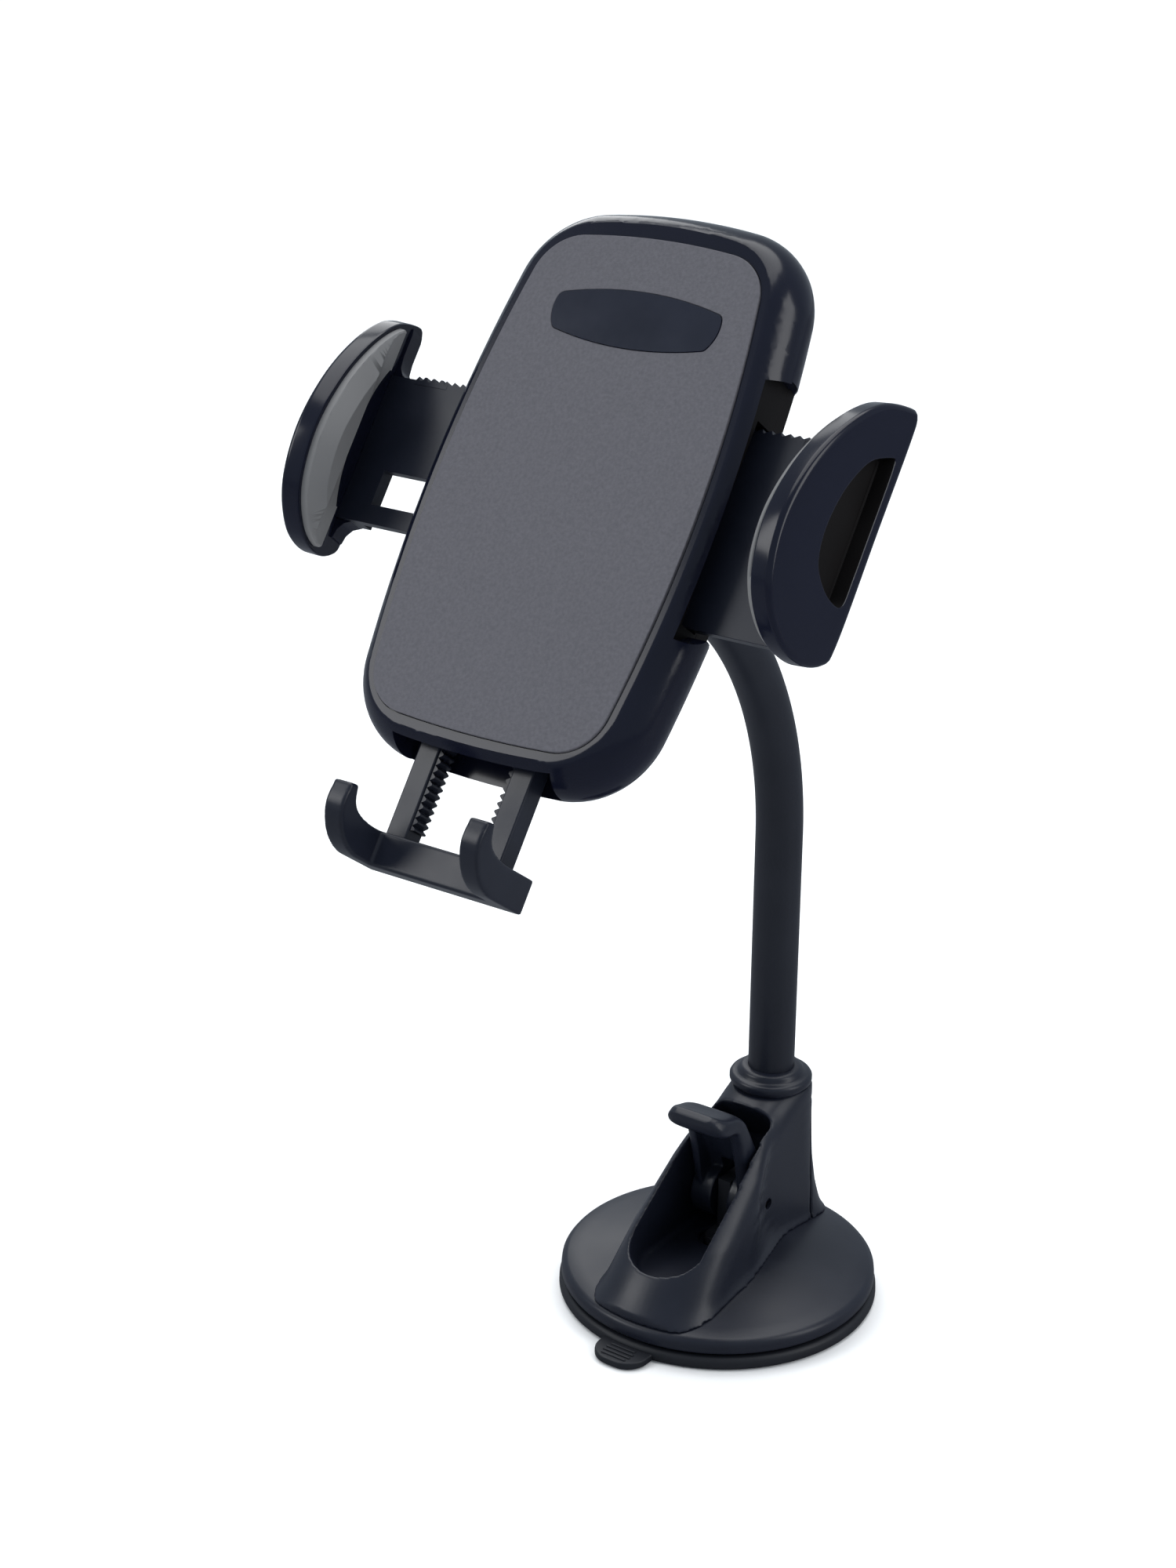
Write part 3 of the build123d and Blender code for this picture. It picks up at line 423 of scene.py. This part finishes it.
recess_half = 9.1
recess_end = -13.5
recess_middle = Vector((0, -7.5, 26.05)) / 1000
tilt_back = Matrix.Rotation(radians(33.94), 4, "X")
recess_place = Matrix.Translation(recess_middle) @ tilt_back


def slab(name, outline, low, high):
    """A flat piece: a ring of points on the outline, filled and extruded along Z."""
    put_down_everything()
    bpy.ops.mesh.primitive_circle_add(vertices=len(outline), radius=0.01, fill_type="NGON")
    piece = bpy.context.object
    bpy.ops.object.mode_set(mode="EDIT")
    ring = bmesh.from_edit_mesh(piece.data)
    ring.verts.ensure_lookup_table()
    for corner, (a, b) in zip(ring.verts, outline):
        corner.co = Vector((a, b, low)) / 1000
    bmesh.update_edit_mesh(piece.data)
    bpy.ops.mesh.extrude_region_move(TRANSFORM_OT_translate={"value": (0, 0, (high - low) / 1000)})
    return settle(piece, name)


def recess_well():
    """The lever's recess, round at its lower end and a little narrower at its top."""
    right_side = [(recess_half * cos(pi * (i / 24 - 0.5)),
                   recess_end + recess_half * sin(pi * (i / 24 - 0.5))) for i in range(12)]
    right_side += [(recess_half, recess_end), (8.9, 3), (7.6, 20.3), (7.2, 21.4), (6.3, 22.1), (5.2, 22.3)]
    mouth = slab("mouth", right_side + [(-x, y) for x, y in right_side[:0:-1]], -32, 16)
    mouth.data.transform(recess_place)
    floor_and_back = bar("inside", (-10, 10), (-45, 15.8), (12.3, 60))
    return cut(mouth, floor_and_back, how="INTERSECT")


def round_bar(name, radius, length, place=(0, 0, 0), facing=(0, 0, 0), steps=64):
    """A plain round bar about its middle, upright before it is faced. Millimetres."""
    put_down_everything()
    bpy.ops.mesh.primitive_cylinder_add(vertices=steps, radius=radius / 1000, depth=length / 1000,
                                        location=[distance / 1000 for distance in place],
                                        rotation=facing)
    return settle(bpy.context.object, name)


across = (0, pi / 2, 0)
pivot_y = 6.0
pivot_z = 21.0
stem_hole = turned("stem hole", [(0, 2), (4.5, 2), (4.5, 15.5), (0, 15.5)], 48)
dish_tool = turned("dish tool", [(0, 2), (40, 2), (40, 6.15), (35.0, 7.2), (crown_r, dish_crown),
                                 (0, dish_crown)], 96)
cut(tower, recess_well(), stem_hole, dish_tool)

cover = bpy.data.objects.new("rear_cover", tower.data.copy())
bpy.context.scene.collection.objects.link(cover)
cut(cover, bar("cover zone", (-30, 30), (24.85, 60), (0, 39.1)), how="INTERSECT")
cut(tower, bar("cover space", (-30, 30), (24.55, 60), (0, 39.35)))
flow(tower, 0.42, 9)
flow(cover, 0.36, 5)
neck_socket = turned("neck socket", [(0, 37.3), (5.2, 37.3), (5.2, 45), (0, 45)], 64, (0, neck_y))
cut(tower, neck_socket)
for side in (-1, 1):
    cut(tower, round_bar("pin hole", 1.25, 9.0, (side * 12.9, pivot_y, pivot_z), across, 32))
paint(tower, satin_plastic)
paint(cover, satin_plastic)
stands_for(tower, "base", "base_plastic", "tower_housing")
stands_for(cover, "base", "base_plastic", "tower_rear_cover")
pin = turned("axle", [(0, -8.5), (0.9, -8.5), (1.2, -8.2), (1.2, 8.2), (0.9, 8.5), (0, 8.5)], 32)
pin_place = Matrix.Translation((0, pivot_y / 1000, pivot_z / 1000))
pin.data.transform(pin_place @ Matrix.Rotation(pi / 2, 4, "Y"))
shade_evenly(pin)
dark_steel = finish("blackened steel", (0.05, 0.05, 0.055), (0.07, 0.07, 0.075), 0.35, spread=0.08,
                    grain=5200, bump=0.1, Metallic=1.0)
paint(pin, dark_steel)
stands_for(pin, "base", "steel", "lever_pin")


# ---- Cam lever ---------------------------------------------------------------------
# A thumb lever moulded with its hub. A lip stands up at its tip and one wide channel
# runs down its front. It turns on the steel pin through the tower's cheeks.

def stacked(name, rings):
    """A closed piece whose skin runs through rings of (x, line), capped at both ends:
    a filled circle is laid on the first ring and extruded to each of the others."""
    put_down_everything()
    bpy.ops.mesh.primitive_circle_add(vertices=len(rings[0][1]), radius=0.01, fill_type="NGON")
    piece = bpy.context.object
    bpy.ops.object.mode_set(mode="EDIT")
    for i, (x, line) in enumerate(rings):
        if i:
            bpy.ops.mesh.extrude_region_move()
        shape = bmesh.from_edit_mesh(piece.data)
        ring = sorted((v for v in shape.verts if v.select), key=lambda v: v.index)
        for corner, point in zip(ring, line):
            corner.co = Vector((x, point[0], point[1])) / 1000
        bmesh.update_edit_mesh(piece.data)
    return settle(piece, name)


def pillow(back, front, half, square=5.0, count=48):
    """A rounded oblong ring as (front, side) points. A larger square is less round."""
    ring = []
    for i in range(count):
        a, b = cos(2 * pi * i / count), sin(2 * pi * i / count)
        ring.append(((front + back) / 2 + (front - back) / 2 * abs(a) ** (2 / square) * (a > 0 or -1),
                     half * abs(b) ** (2 / square) * (b > 0 or -1)))
    return ring


# The lever lies along its own X from the pivot, with Y to its front and its width on Z.
lever = stacked("lever", [(x, pillow(back, front, half)) for x, back, front, half in (
    (-4.6, -3.0, 3.0, 7.4), (-3.0, -4.8, 4.6, 7.5), (0, -5.3, 5.2, 7.5), (8, -4.9, 3.6, 7.5),
    (14, -4.6, 2.0, 7.5), (20, -4.1, 1.0, 7.5), (23.6, -3.7, 0.8, 7.5), (25.0, -3.3, 2.0, 7.5),
    (26.1, -2.8, 4.0, 7.5), (27.3, -1.8, 5.3, 7.5), (28.5, -0.2, 5.8, 7.45), (29.8, 1.3, 5.8, 7.2),
    (30.8, 2.3, 5.7, 6.6), (31.6, 2.9, 5.5, 5.7), (32.1, 3.4, 5.2, 4.6))])
channel = bar("channel", (-1.0, 24.6), (-1.6, 12), (-4.7, 4.7), 1.2, 4)
cut(lever, channel)
cut(lever, round_bar("hub", 6.5, 15.0), how="UNION")
cut(lever, round_bar("yoke space", 9.8, 4.2))
flow(lever, 0.3, 6)
lean = radians(115)
stood_up = Matrix(((0, 0, 1, 0), (cos(lean), -sin(lean), 0, pivot_y / 1000),
                   (sin(lean), cos(lean), 0, pivot_z / 1000), (0, 0, 0, 1)))
lever.data.transform(stood_up)
eccentric_middle = (0, 7.9615, 19.75)
cut(lever, round_bar("eccentric", 4.2, 4.6, eccentric_middle, across), how="UNION")
cut(lever, round_bar("bore", 1.26, 30.0, (0, pivot_y, pivot_z), across, 48))
pick_up(lever)
bpy.ops.object.shade_smooth_by_angle(angle=radians(50))
paint(lever, satin_plastic)
stands_for(lever, "lever", "lever_plastic", "cam_lever")


# ---- Collar ------------------------------------------------------------------------
# A turned-looking plastic ring that clips onto the tower and grips the foot of the
# gooseneck. Its shoulder is rounded, with a fine groove under it.

collar = turned("collar", [(5.3, 43.3), (8.5, 43.3), (8.7, 43.75), (8.7, 44.0), (9.25, 44.15),
                           (9.4, 44.5), (9.4, 45.35), (9.1, 45.85), (8.5, 46.1), (7.7, 46.2),
                           (7.4, 46.5), (7.3, 47.0), (6.9, 47.5), (6.2, 47.75), (5.3, 47.8)],
                96, (0, neck_y))
bpy.ops.object.shade_smooth_by_angle(angle=radians(38))
paint(collar, satin_plastic)
stands_for(collar, "base", "base_plastic", "neck_collar")


# ---- Gooseneck ---------------------------------------------------------------------
# A coiled steel hose inside a smooth rubber sleeve. The sleeve is drawn in lengths
# that each span one of the hose's six pivots and meet halfway between them.

rise = 60.7
bend_r = 76.0
lean_back = radians(35.83)
turn = pi / 2 - lean_back
end_run = 14.8
neck_length = rise + bend_r * turn + end_run
first_pivot = 18
past_last_pivot = 28
pivot_step = (neck_length - (first_pivot + past_last_pivot)) / 5
pivots = [first_pivot + pivot_step * i for i in range(6)]
bend_zone = 8.5
bend_middle = Vector((0, neck_y - bend_r, tower_top + rise))
face_out = Vector((0, -cos(lean_back), sin(lean_back)))


def neck_point(s):
    """The neck's centre line at the distance s from the tower, and its direction."""
    if s <= rise:
        return Vector((0, neck_y, tower_top + s)) / 1000, Vector((0, 0, 1))
    angle = min((s - rise) / bend_r, turn)
    spot = bend_middle + Vector((0, bend_r * cos(angle), bend_r * sin(angle)))
    spot += face_out * max(s - rise - bend_r * turn, 0)
    return spot / 1000, Vector((0, -sin(angle), cos(angle)))


def sleeve(name, start, end, radius=5.25, wall=1.6, rings=22):
    """A length of the sleeve: a ring extruded along the neck's line, given its wall."""
    put_down_everything()
    bpy.ops.mesh.primitive_circle_add(vertices=56, radius=radius / 1000)
    tube = bpy.context.object
    bpy.ops.object.mode_set(mode="EDIT")
    bpy.ops.mesh.select_all(action="SELECT")
    here = Matrix.Identity(4)
    for i in range(rings + 1):
        if i:
            bpy.ops.mesh.extrude_edges_move()
        spot, heading = neck_point(start + (end - start) * i / rings)
        there = Matrix.Translation(spot) @ Vector((0, 0, 1)).rotation_difference(
            heading).to_matrix().to_4x4()
        shape = bmesh.from_edit_mesh(tube.data)
        step = there @ here.inverted()
        bmesh.ops.transform(shape, matrix=step, verts=[v for v in shape.verts if v.select])
        bmesh.update_edit_mesh(tube.data)
        here = there
    settle(tube, name)
    thick = tube.modifiers.new("wall", "SOLIDIFY")
    thick.thickness = wall / 1000
    thick.offset = -1
    apply_all(tube)
    bpy.ops.object.shade_smooth_by_angle(angle=radians(50))
    return tube


neck_rubber = finish("neck rubber", (0.0080, 0.0097, 0.0160), (0.0102, 0.0124, 0.0200), 0.38,
                     spread=0.06, grain=2300, bump=0.2, mottle_scale=60,
                     Specular_IOR_Level=0.32)
seams = [0.5] + [(a + b) / 2 for a, b in zip(pivots, pivots[1:])] + [neck_length + 0.6]
for i, pivot in enumerate(pivots):
    length = sleeve(f"sleeve_{i + 1}", seams[i], seams[i + 1])
    paint(length, neck_rubber)
    neck_point(pivot - bend_zone)[0]
    neck_point(pivot + bend_zone)[0]
    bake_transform(length)
    stood_for = [f"neck_sleeve_{i + 1}"] + (["neck_sleeve_7"] if i == 5 else [])
    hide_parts(*stood_for)
paint_cad(bright_steel, *[f"neck_core_{i}" for i in range(1, 8)])


# ---- Ball joint --------------------------------------------------------------------
# A ferrule caps the neck and holds the ball. The ball sits in a split liner inside
# the back shell's collet, and the ribbed nut round the collet tightens it.

def copy_of(node, name):
    """A merged copy of a CAD piece, to be worked on."""
    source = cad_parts[node]
    piece = bpy.data.objects.new(name, source.data.copy())
    piece.data.transform(source.matrix_world)
    bpy.context.scene.collection.objects.link(piece)
    pick_up(piece)
    bpy.ops.object.mode_set(mode="EDIT")
    bpy.ops.mesh.select_all(action="SELECT")
    bpy.ops.mesh.remove_doubles(threshold=0.000003)
    bpy.ops.mesh.dissolve_limited(angle_limit=radians(0.4))
    bpy.ops.object.mode_set(mode="OBJECT")
    piece.data.materials.clear()
    return piece


shank = 16.0
ball_middle = (bend_middle + Vector((0, bend_r * cos(turn), bend_r * sin(turn)))
               + face_out * (end_run + shank)) / 1000
to_ball = Matrix.Translation(ball_middle) @ Matrix.Rotation(turn, 4, "X")
ferrule = turned("ferrule", [(0, -15.5), (0, -16), (5.25, -16), (5.25, -21), (5.9, -21),
                             (6.15, -20.7), (6.15, -14.2), (5.8, -13.5), (4.9, -12.8),
                             (4.3, -12.5), (3.2, -12.5), (3.2, -15.5)], 72)
ferrule.data.transform(to_ball)
bpy.ops.object.shade_smooth_by_angle(angle=radians(38))
paint(ferrule, satin_plastic)
stands_for(ferrule, "neck_7", "base_plastic", "neck_ferrule")
smooth_plastic = finish("smooth plastic", (0.011, 0.012, 0.015), (0.014, 0.015, 0.019), 0.22,
                        spread=0.05, grain=1500, bump=0.08)
paint_cad(smooth_plastic, "ball_stud")
acetal = finish("natural acetal", (0.55, 0.54, 0.50), (0.60, 0.59, 0.56), 0.40, spread=0.06)
paint_cad(acetal, "ball_seat", "friction_disc", "pinion", "ratchet_pawl")
nut = copy_of("socket_nut", "nut")
ease_edges(nut, 0.22, 2)
paint(nut, satin_plastic)
stands_for(nut, "nut", "base_plastic", "socket_nut")


# ---- Head shells -------------------------------------------------------------------
# Front and back shells of high-gloss plastic, screwed together from behind. Notches
# in the sides let the grips close against them, and the arms and foot slide inside.

gloss_plastic = finish("gloss plastic", (0.0045, 0.0056, 0.0130), (0.0055, 0.0068, 0.0158), 0.17,
                       spread=0.03, grain=420, bump=0.02, mottle_scale=40,
                       Specular_IOR_Level=0.26)
ball_to_face = 0.029
to_head = Matrix.Translation(ball_middle + face_out * ball_to_face) @ Matrix.Rotation(turn, 4, "X")
# Painted shade: a dull, near-black material laid on recess walls where only shade falls.
recess_painted_shade = finish("recess painted shade", (0.0045, 0.0038, 0.0040), (0.0060, 0.0052, 0.0054), 0.6,
                       spread=0.08, grain=2200, bump=0.4, Specular_IOR_Level=0.12)


def paint_shade_inside(shell):
    """Paints shade on the walls inside the notches and the cavity, as a dull near-black material."""
    shell.data.materials.append(recess_painted_shade)
    from_head = to_head.inverted()
    for face in shell.data.polygons:
        x, y, z = (from_head @ face.center) * 1000
        in_notch = abs(x) < 31.0 and -21.0 < y < 30.4 and -17.5 < z < -2.6
        in_cavity = abs(x) < 27.5 and abs(y) < 43 and -16.6 < z < -2.6
        if in_notch or in_cavity:
            face.material_index = 1


front_shell = copy_of("front_shell", "front_cover_shell")
slot = bar("slot", (-18.3, 18.3), (-75, -52), (-9.5, -1.9))
slot.data.transform(to_head)
cut(front_shell, slot)
ease_edges(front_shell, 0.45)
paint(front_shell, gloss_plastic)
paint_shade_inside(front_shell)
stands_for(front_shell, "head", "shell_plastic", "front_shell")
back_shell = copy_of("back_shell", "back_cover_shell")
ease_edges(back_shell, 0.35)
paint(back_shell, gloss_plastic)
paint_shade_inside(back_shell)
stands_for(back_shell, "head", "shell_plastic", "back_shell")
paint_cad(bright_steel, "shell_screws", "pinion_pin", "foot_detents", "button_spring")


# ---- Face lining and badge -----------------------------------------------------------
# A fine-grained soft rubber sheet set into the front shell, where the phone's back
# rests. A plain gloss badge is let into it near the top, with nothing printed on it.

lining_rubber = finish("lining rubber", (0.084, 0.083, 0.096), (0.108, 0.106, 0.122), 0.62,
                       spread=0.06, grain=3800, bump=0.55, mottle_scale=1500,
                       grain_depth=0.00006, Specular_IOR_Level=0.25)
lining = copy_of("face_pad", "face_lining")
ease_edges(lining, 0.3)
paint(lining, lining_rubber)
stands_for(lining, "head", "face_rubber", "face_pad")
badge_gloss = finish("badge gloss", (0.0045, 0.006, 0.015), (0.006, 0.008, 0.019), 0.14,
                     spread=0.03, grain=600, bump=0.02)
badge = copy_of("label_plate", "badge")
shade_evenly(badge, 30)
paint(badge, badge_gloss)
stands_for(badge, "head", "badge_plastic", "label_plate")


# ---- Arms and grips ------------------------------------------------------------------
# Flat arms with a rack and a ratchet edge, one behind the other, slide through the
# head. Each carries a glossy D-shaped grip with a pocket outside and a soft pad inside.

grip_rubber = finish("grip rubber", (0.145, 0.145, 0.148), (0.165, 0.165, 0.168), 0.55,
                     spread=0.06, grain=2900, bump=0.3)
grip_lean = (Matrix.Translation((0.0574, 0, 0.001)) @ Matrix.Rotation(radians(-9.8), 4, "Y")
             @ Matrix.Translation((0, 0, -0.001)))
mirrored = Matrix.Scale(-1, 4, (1, 0, 0))


def rounded_through(corners, count=120):
    """A closed smooth line through the corners, as evenly spaced points."""
    fine = []
    for i, start in enumerate(corners):
        before, end, after = (Vector(corners[(i + k) % len(corners)]) for k in (-1, 1, 2))
        start = Vector(start)
        for step in range(24):
            t = step / 24
            fine.append((start * 2 + (end - before) * t
                         + (before * 2 - start * 5 + end * 4 - after) * t * t
                         + (start * 3 - before - end * 3 + after) * t ** 3) / 2)
    lengths = [0.0]
    for a, b in zip(fine, fine[1:] + fine[:1]):
        lengths.append(lengths[-1] + (b - a).length)
    even = []
    place = 0
    for i in range(count):
        wanted = lengths[-1] * i / count
        while lengths[place + 1] < wanted:
            place += 1
        share = (wanted - lengths[place]) / (lengths[place + 1] - lengths[place])
        even.append(fine[place].lerp(fine[(place + 1) % len(fine)], share))
    return even


def drawn_in(line, by):
    """The closed line moved inwards by a distance in millimetres."""
    moved = []
    for i, point in enumerate(line):
        along_it = line[(i + 1) % len(line)] - line[i - 1]
        moved.append(point + Vector((-along_it.y, along_it.x)).normalized() * by)
    return moved


grip_line = rounded_through([(29.4, -9.0), (26.2, -0.9), (18.6, 6.5), (8.5, 11.9), (-3.0, 14.0),
                             (-13.8, 11.2), (-20.6, 4.0), (-22.3, -4.0), (-20.2, -10.2),
                             (-15.5, -12.0), (6.0, -12.0), (24.5, -12.0), (28.6, -11.4)])
pocket_line = rounded_through([(19.2, -8.4), (16.4, -3.4), (12.4, -0.6), (7.2, 1.4), (0.6, 2.2),
                               (-5.2, 0.8), (-8.6, -3.2), (-9.7, -7.2), (-8.8, -9.1),
                               (-4.0, -9.3), (4.0, -9.3), (14.0, -9.3), (18.4, -9.1)])


def grip_moulding():
    """The right-hand grip's rim: a rounded D with a pocket sunk in its outer face."""
    rings = [(-4.4, drawn_in(grip_line, 0.45)), (-4.28, drawn_in(grip_line, 0.13)),
             (-3.95, grip_line), (-1.1, grip_line), (-0.68, drawn_in(grip_line, 0.08)),
             (-0.32, drawn_in(grip_line, 0.32)), (-0.09, drawn_in(grip_line, 0.68)),
             (0.0, drawn_in(grip_line, 1.15)), (0.0, drawn_in(pocket_line, -0.4)),
             (-0.12, drawn_in(pocket_line, -0.1)), (-0.5, pocket_line),
             (-3.1, drawn_in(pocket_line, 0.45)), (-3.3, drawn_in(pocket_line, 0.9))]
    return stacked("grip", rings)


def paint_pocket_shade(grip):
    """Paints shade inside the outer pocket, as a dull near-black material on its faces."""
    grip.data.materials.append(recess_painted_shade)
    for face in grip.data.polygons:
        x, y, z = face.center * 1000
        if -3.5 < x < -0.3 and -9.85 < y < 19.6 and -9.6 < z < 2.6:
            face.material_index = 1


def web(top, low):
    """The rear web that runs from a grip into its arm, with a curved throat each side."""
    shape = slab("web", [(-4.0, 28.0), (-4.7, 27.8), (-4.9, 26.5), (-4.9, top + 4.6),
                         (-5.2, top + 2.2), (-6.2, top + 0.7), (-7.8, top - 0.1),
                         (-8.7, top - 0.6), (-8.7, low + 0.6), (-7.8, low + 0.1),
                         (-6.2, low - 0.7), (-5.2, low - 2.2), (-4.9, low - 4.0),
                         (-4.0, low - 4.2)], -11.0, -6.6)
    inside = drawn_in(grip_line, 0.4)
    return cut(shape, stacked("profile", [(-12, inside), (0, inside)]), how="INTERSECT")


grip_heart = Vector((3, -6))


def pulled_in(line, by):
    """The closed line drawn towards its middle by a distance in millimetres."""
    return [point + (grip_heart - point).normalized() * by for point in line]


def cushion():
    """The right-hand grip's pad: a flat slope all round, and a hollowed inner face."""
    pad = stacked("pad", [(-4.4, pulled_in(grip_line, 0.95)), (-5.7, pulled_in(grip_line, 1.0)),
                          (-6.0, pulled_in(grip_line, 1.25)), (-8.3, pulled_in(grip_line, 4.0)),
                          (-8.4, pulled_in(grip_line, 4.3))])
    hollow = round_bar("hollow", 8.8, 80.0, (-14.8, 0, -0.5), (pi / 2, 0, 0), 96)
    arch = [(17.0 - 29.5 * i / 24, -1.6 + 4.6 * sin(pi * i / 24)) for i in range(25)]
    behind = stacked("behind", [(x, [(40, -2.0), (17.0, -2.0)] + arch
                                 + [(-12.5, -2.0), (-40, -2.0), (-40, -30), (40, -30)])
                                for x in (-20, 5)])
    cut(pad, hollow, behind, bar("end", (-20, 5), (26.0, 40), (-30, 30)))
    return ease_edges(pad, 0.3)


for side, flip, top, low, plate in (("left", mirrored, 17.3, -13.5, (-8.6, -6.4)),
                                    ("right", Matrix.Identity(4), 19.9, -17.6, (-11.2, -9.0))):
    place = to_head @ flip @ grip_lean
    body = f"{side}_jaw"
    arm = copy_of(f"{side}_arm", f"{side}_slide_arm")
    teeth = slab("teeth", [(40.0, top - 1.0), (40.0, top)]
                 + [(41.0 + 0.5 * i, top + (0, 0.8, 0.8, 0)[i % 4]) for i in range(14)]
                 + [(48.0, top), (48.0, top - 1.0)], *plate)
    teeth.data.transform(to_head @ flip)
    cut(arm, settle(teeth, "teeth"), how="UNION")
    ease_edges(arm, 0.16, 2)
    paint(arm, satin_plastic)
    stands_for(arm, body, "arm_plastic", f"{side}_arm")
    grip = grip_moulding()
    cut(grip, web(top, low), how="UNION")
    settle(grip, f"{side}_grip_moulding")
    paint(grip, gloss_plastic)
    paint_pocket_shade(grip)
    grip.data.transform(place)
    if side == "left":
        grip.data.flip_normals()
    shade_evenly(grip, 34)
    stands_for(grip, body, "shell_plastic", f"{side}_grip")
    pad = cushion()
    pad.data.transform(place)
    settle(pad, f"{side}_grip_cushion")
    shade_evenly(pad, 30)
    paint(pad, grip_rubber)
    stands_for(pad, body, "grip_rubber", f"{side}_grip_pad")


# ---- Foot ----------------------------------------------------------------------------
# Two toothed legs on a crossbar, moulded in one with the curved hooks that the phone
# stands in. It slides in and out of the head between two spring catches.

foot = copy_of("foot_bracket", "foot")
foot.data.transform(to_head.inverted())
first_tooth = -38.4
tooth_pitch = 1.5
cut(foot, bar("leg zone", (-15, 15), (-71.1, -30), (-12, -2)))
flow(foot, 0.32, 7)
for side in (-1, 1):
    leg = bar("leg", (8.6, 13.3), (-74.0, -34.0), (-9.5, -4.7), 0.35, 3)
    saw = [(9.6, -69.6), (9.6, first_tooth)]
    for i in range(21):
        low_end = first_tooth - tooth_pitch * i
        saw += [(8.5, low_end), (7.65, low_end - 0.55), (7.65, low_end - 0.85)]
    cut(leg, slab("teeth", saw, -9.1, -5.1), how="UNION")
    if side < 0:
        leg.data.transform(mirrored)
        settle(leg, "leg")
    cut(foot, leg, how="UNION")
foot.data.transform(to_head)
shade_evenly(foot, 40)
paint(foot, satin_plastic)
stands_for(foot, "foot", "arm_plastic", "foot_bracket")


# ---- Release button ------------------------------------------------------------------
# A round push button in the back shell, moulded in the same plastic as the arms.
# Pressing it lifts the pawl off the arms' teeth.

button = copy_of("release_button", "push_button")
ease_edges(button, 0.2, 2)
paint(button, satin_plastic)
stands_for(button, "button", "arm_plastic", "release_button")


# ---- Studio --------------------------------------------------------------------------
# A plain white floor under a bright even sky, both darker where the gloss mirrors them,
# four soft lamps, and the camera above and to the right of the mount.

put_down_everything()
bpy.ops.mesh.primitive_plane_add(size=14, location=(0, 0, 0))
floor = bpy.context.object
floor.name = "floor"
floor_paint = bpy.data.materials.new("floor white")
floor_paint.use_nodes = True
floor_shader = floor_paint.node_tree.nodes["Principled BSDF"]
floor_tint = floor_paint.node_tree.nodes.new("ShaderNodeMix")
floor_tint.data_type = "RGBA"
floor_tint.inputs["A"].default_value = (0.97, 0.97, 0.97, 1)
floor_tint.inputs["B"].default_value = (0.16, 0.17, 0.19, 1)
floor_ray = floor_paint.node_tree.nodes.new("ShaderNodeLightPath")
floor_paint.node_tree.links.new(floor_ray.outputs["Is Glossy Ray"], floor_tint.inputs["Factor"])
floor_paint.node_tree.links.new(floor_tint.outputs["Result"], floor_shader.inputs["Base Color"])
floor_shader.inputs["Roughness"].default_value = 0.7
floor.data.materials.append(floor_paint)

sky = bpy.data.worlds.new("studio")
bpy.context.scene.world = sky
sky.use_nodes = True
sky_tint = sky.node_tree.nodes.new("ShaderNodeMix")
sky_tint.data_type = "RGBA"
sky_tint.inputs["A"].default_value = (0.36, 0.405, 0.45, 1)
sky_tint.inputs["B"].default_value = (1, 1, 1, 1)
sky_ray = sky.node_tree.nodes.new("ShaderNodeLightPath")
sky.node_tree.links.new(sky_ray.outputs["Is Camera Ray"], sky_tint.inputs["Factor"])
sky.node_tree.links.new(sky_tint.outputs["Result"], sky.node_tree.nodes["Background"].inputs["Color"])
bpy.context.scene.view_settings.view_transform = "Standard"


def aim(light, spot, target):
    light.location = spot
    light.rotation_euler = (Vector(target) - Vector(spot)).to_track_quat("-Z", "Y").to_euler()


def soft_box(name, spot, target, size, power):
    put_down_everything()
    bpy.ops.object.light_add(type="AREA")
    light = bpy.context.object
    light.name = name
    aim(light, spot, target)
    light.data.shape = "RECTANGLE"
    light.data.size, light.data.size_y = size
    light.data.energy = power


put_down_everything()
bpy.ops.object.light_add(type="SUN")
daylight = bpy.context.object
daylight.name = "even daylight"
aim(daylight, (-0.3, 0.3, 1.6), (0, 0, 0))
daylight.data.energy = 2.35
daylight.data.angle = radians(60)
soft_box("key", (-0.75, -0.75, 0.75), (0, -0.03, 0.17), (0.5, 0.5), 4)
soft_box("right strip", (0.9, 0.15, 0.6), (0, -0.03, 0.17), (0.35, 0.9), 4)
soft_box("rear rim", (-0.7, 0.65, 0.65), (0, -0.03, 0.2), (0.3, 0.6), 1.2)

bpy.ops.object.camera_add(location=(0.29339, -0.45910, 0.33555))
camera = bpy.context.object
right = Vector((0.8098, 0.5868, 0.0071)).normalized()
back = Vector((0.5442, -0.7554, 0.3652)).normalized()
upward = back.cross(right).normalized()
right = upward.cross(back)
camera.rotation_euler = Matrix((right, upward, back)).transposed().to_euler()
camera.data.lens = 63.23
camera.data.sensor_width = 36
camera.data.sensor_fit = "AUTO"
camera.data.clip_start = 0.01
bpy.context.scene.camera = camera
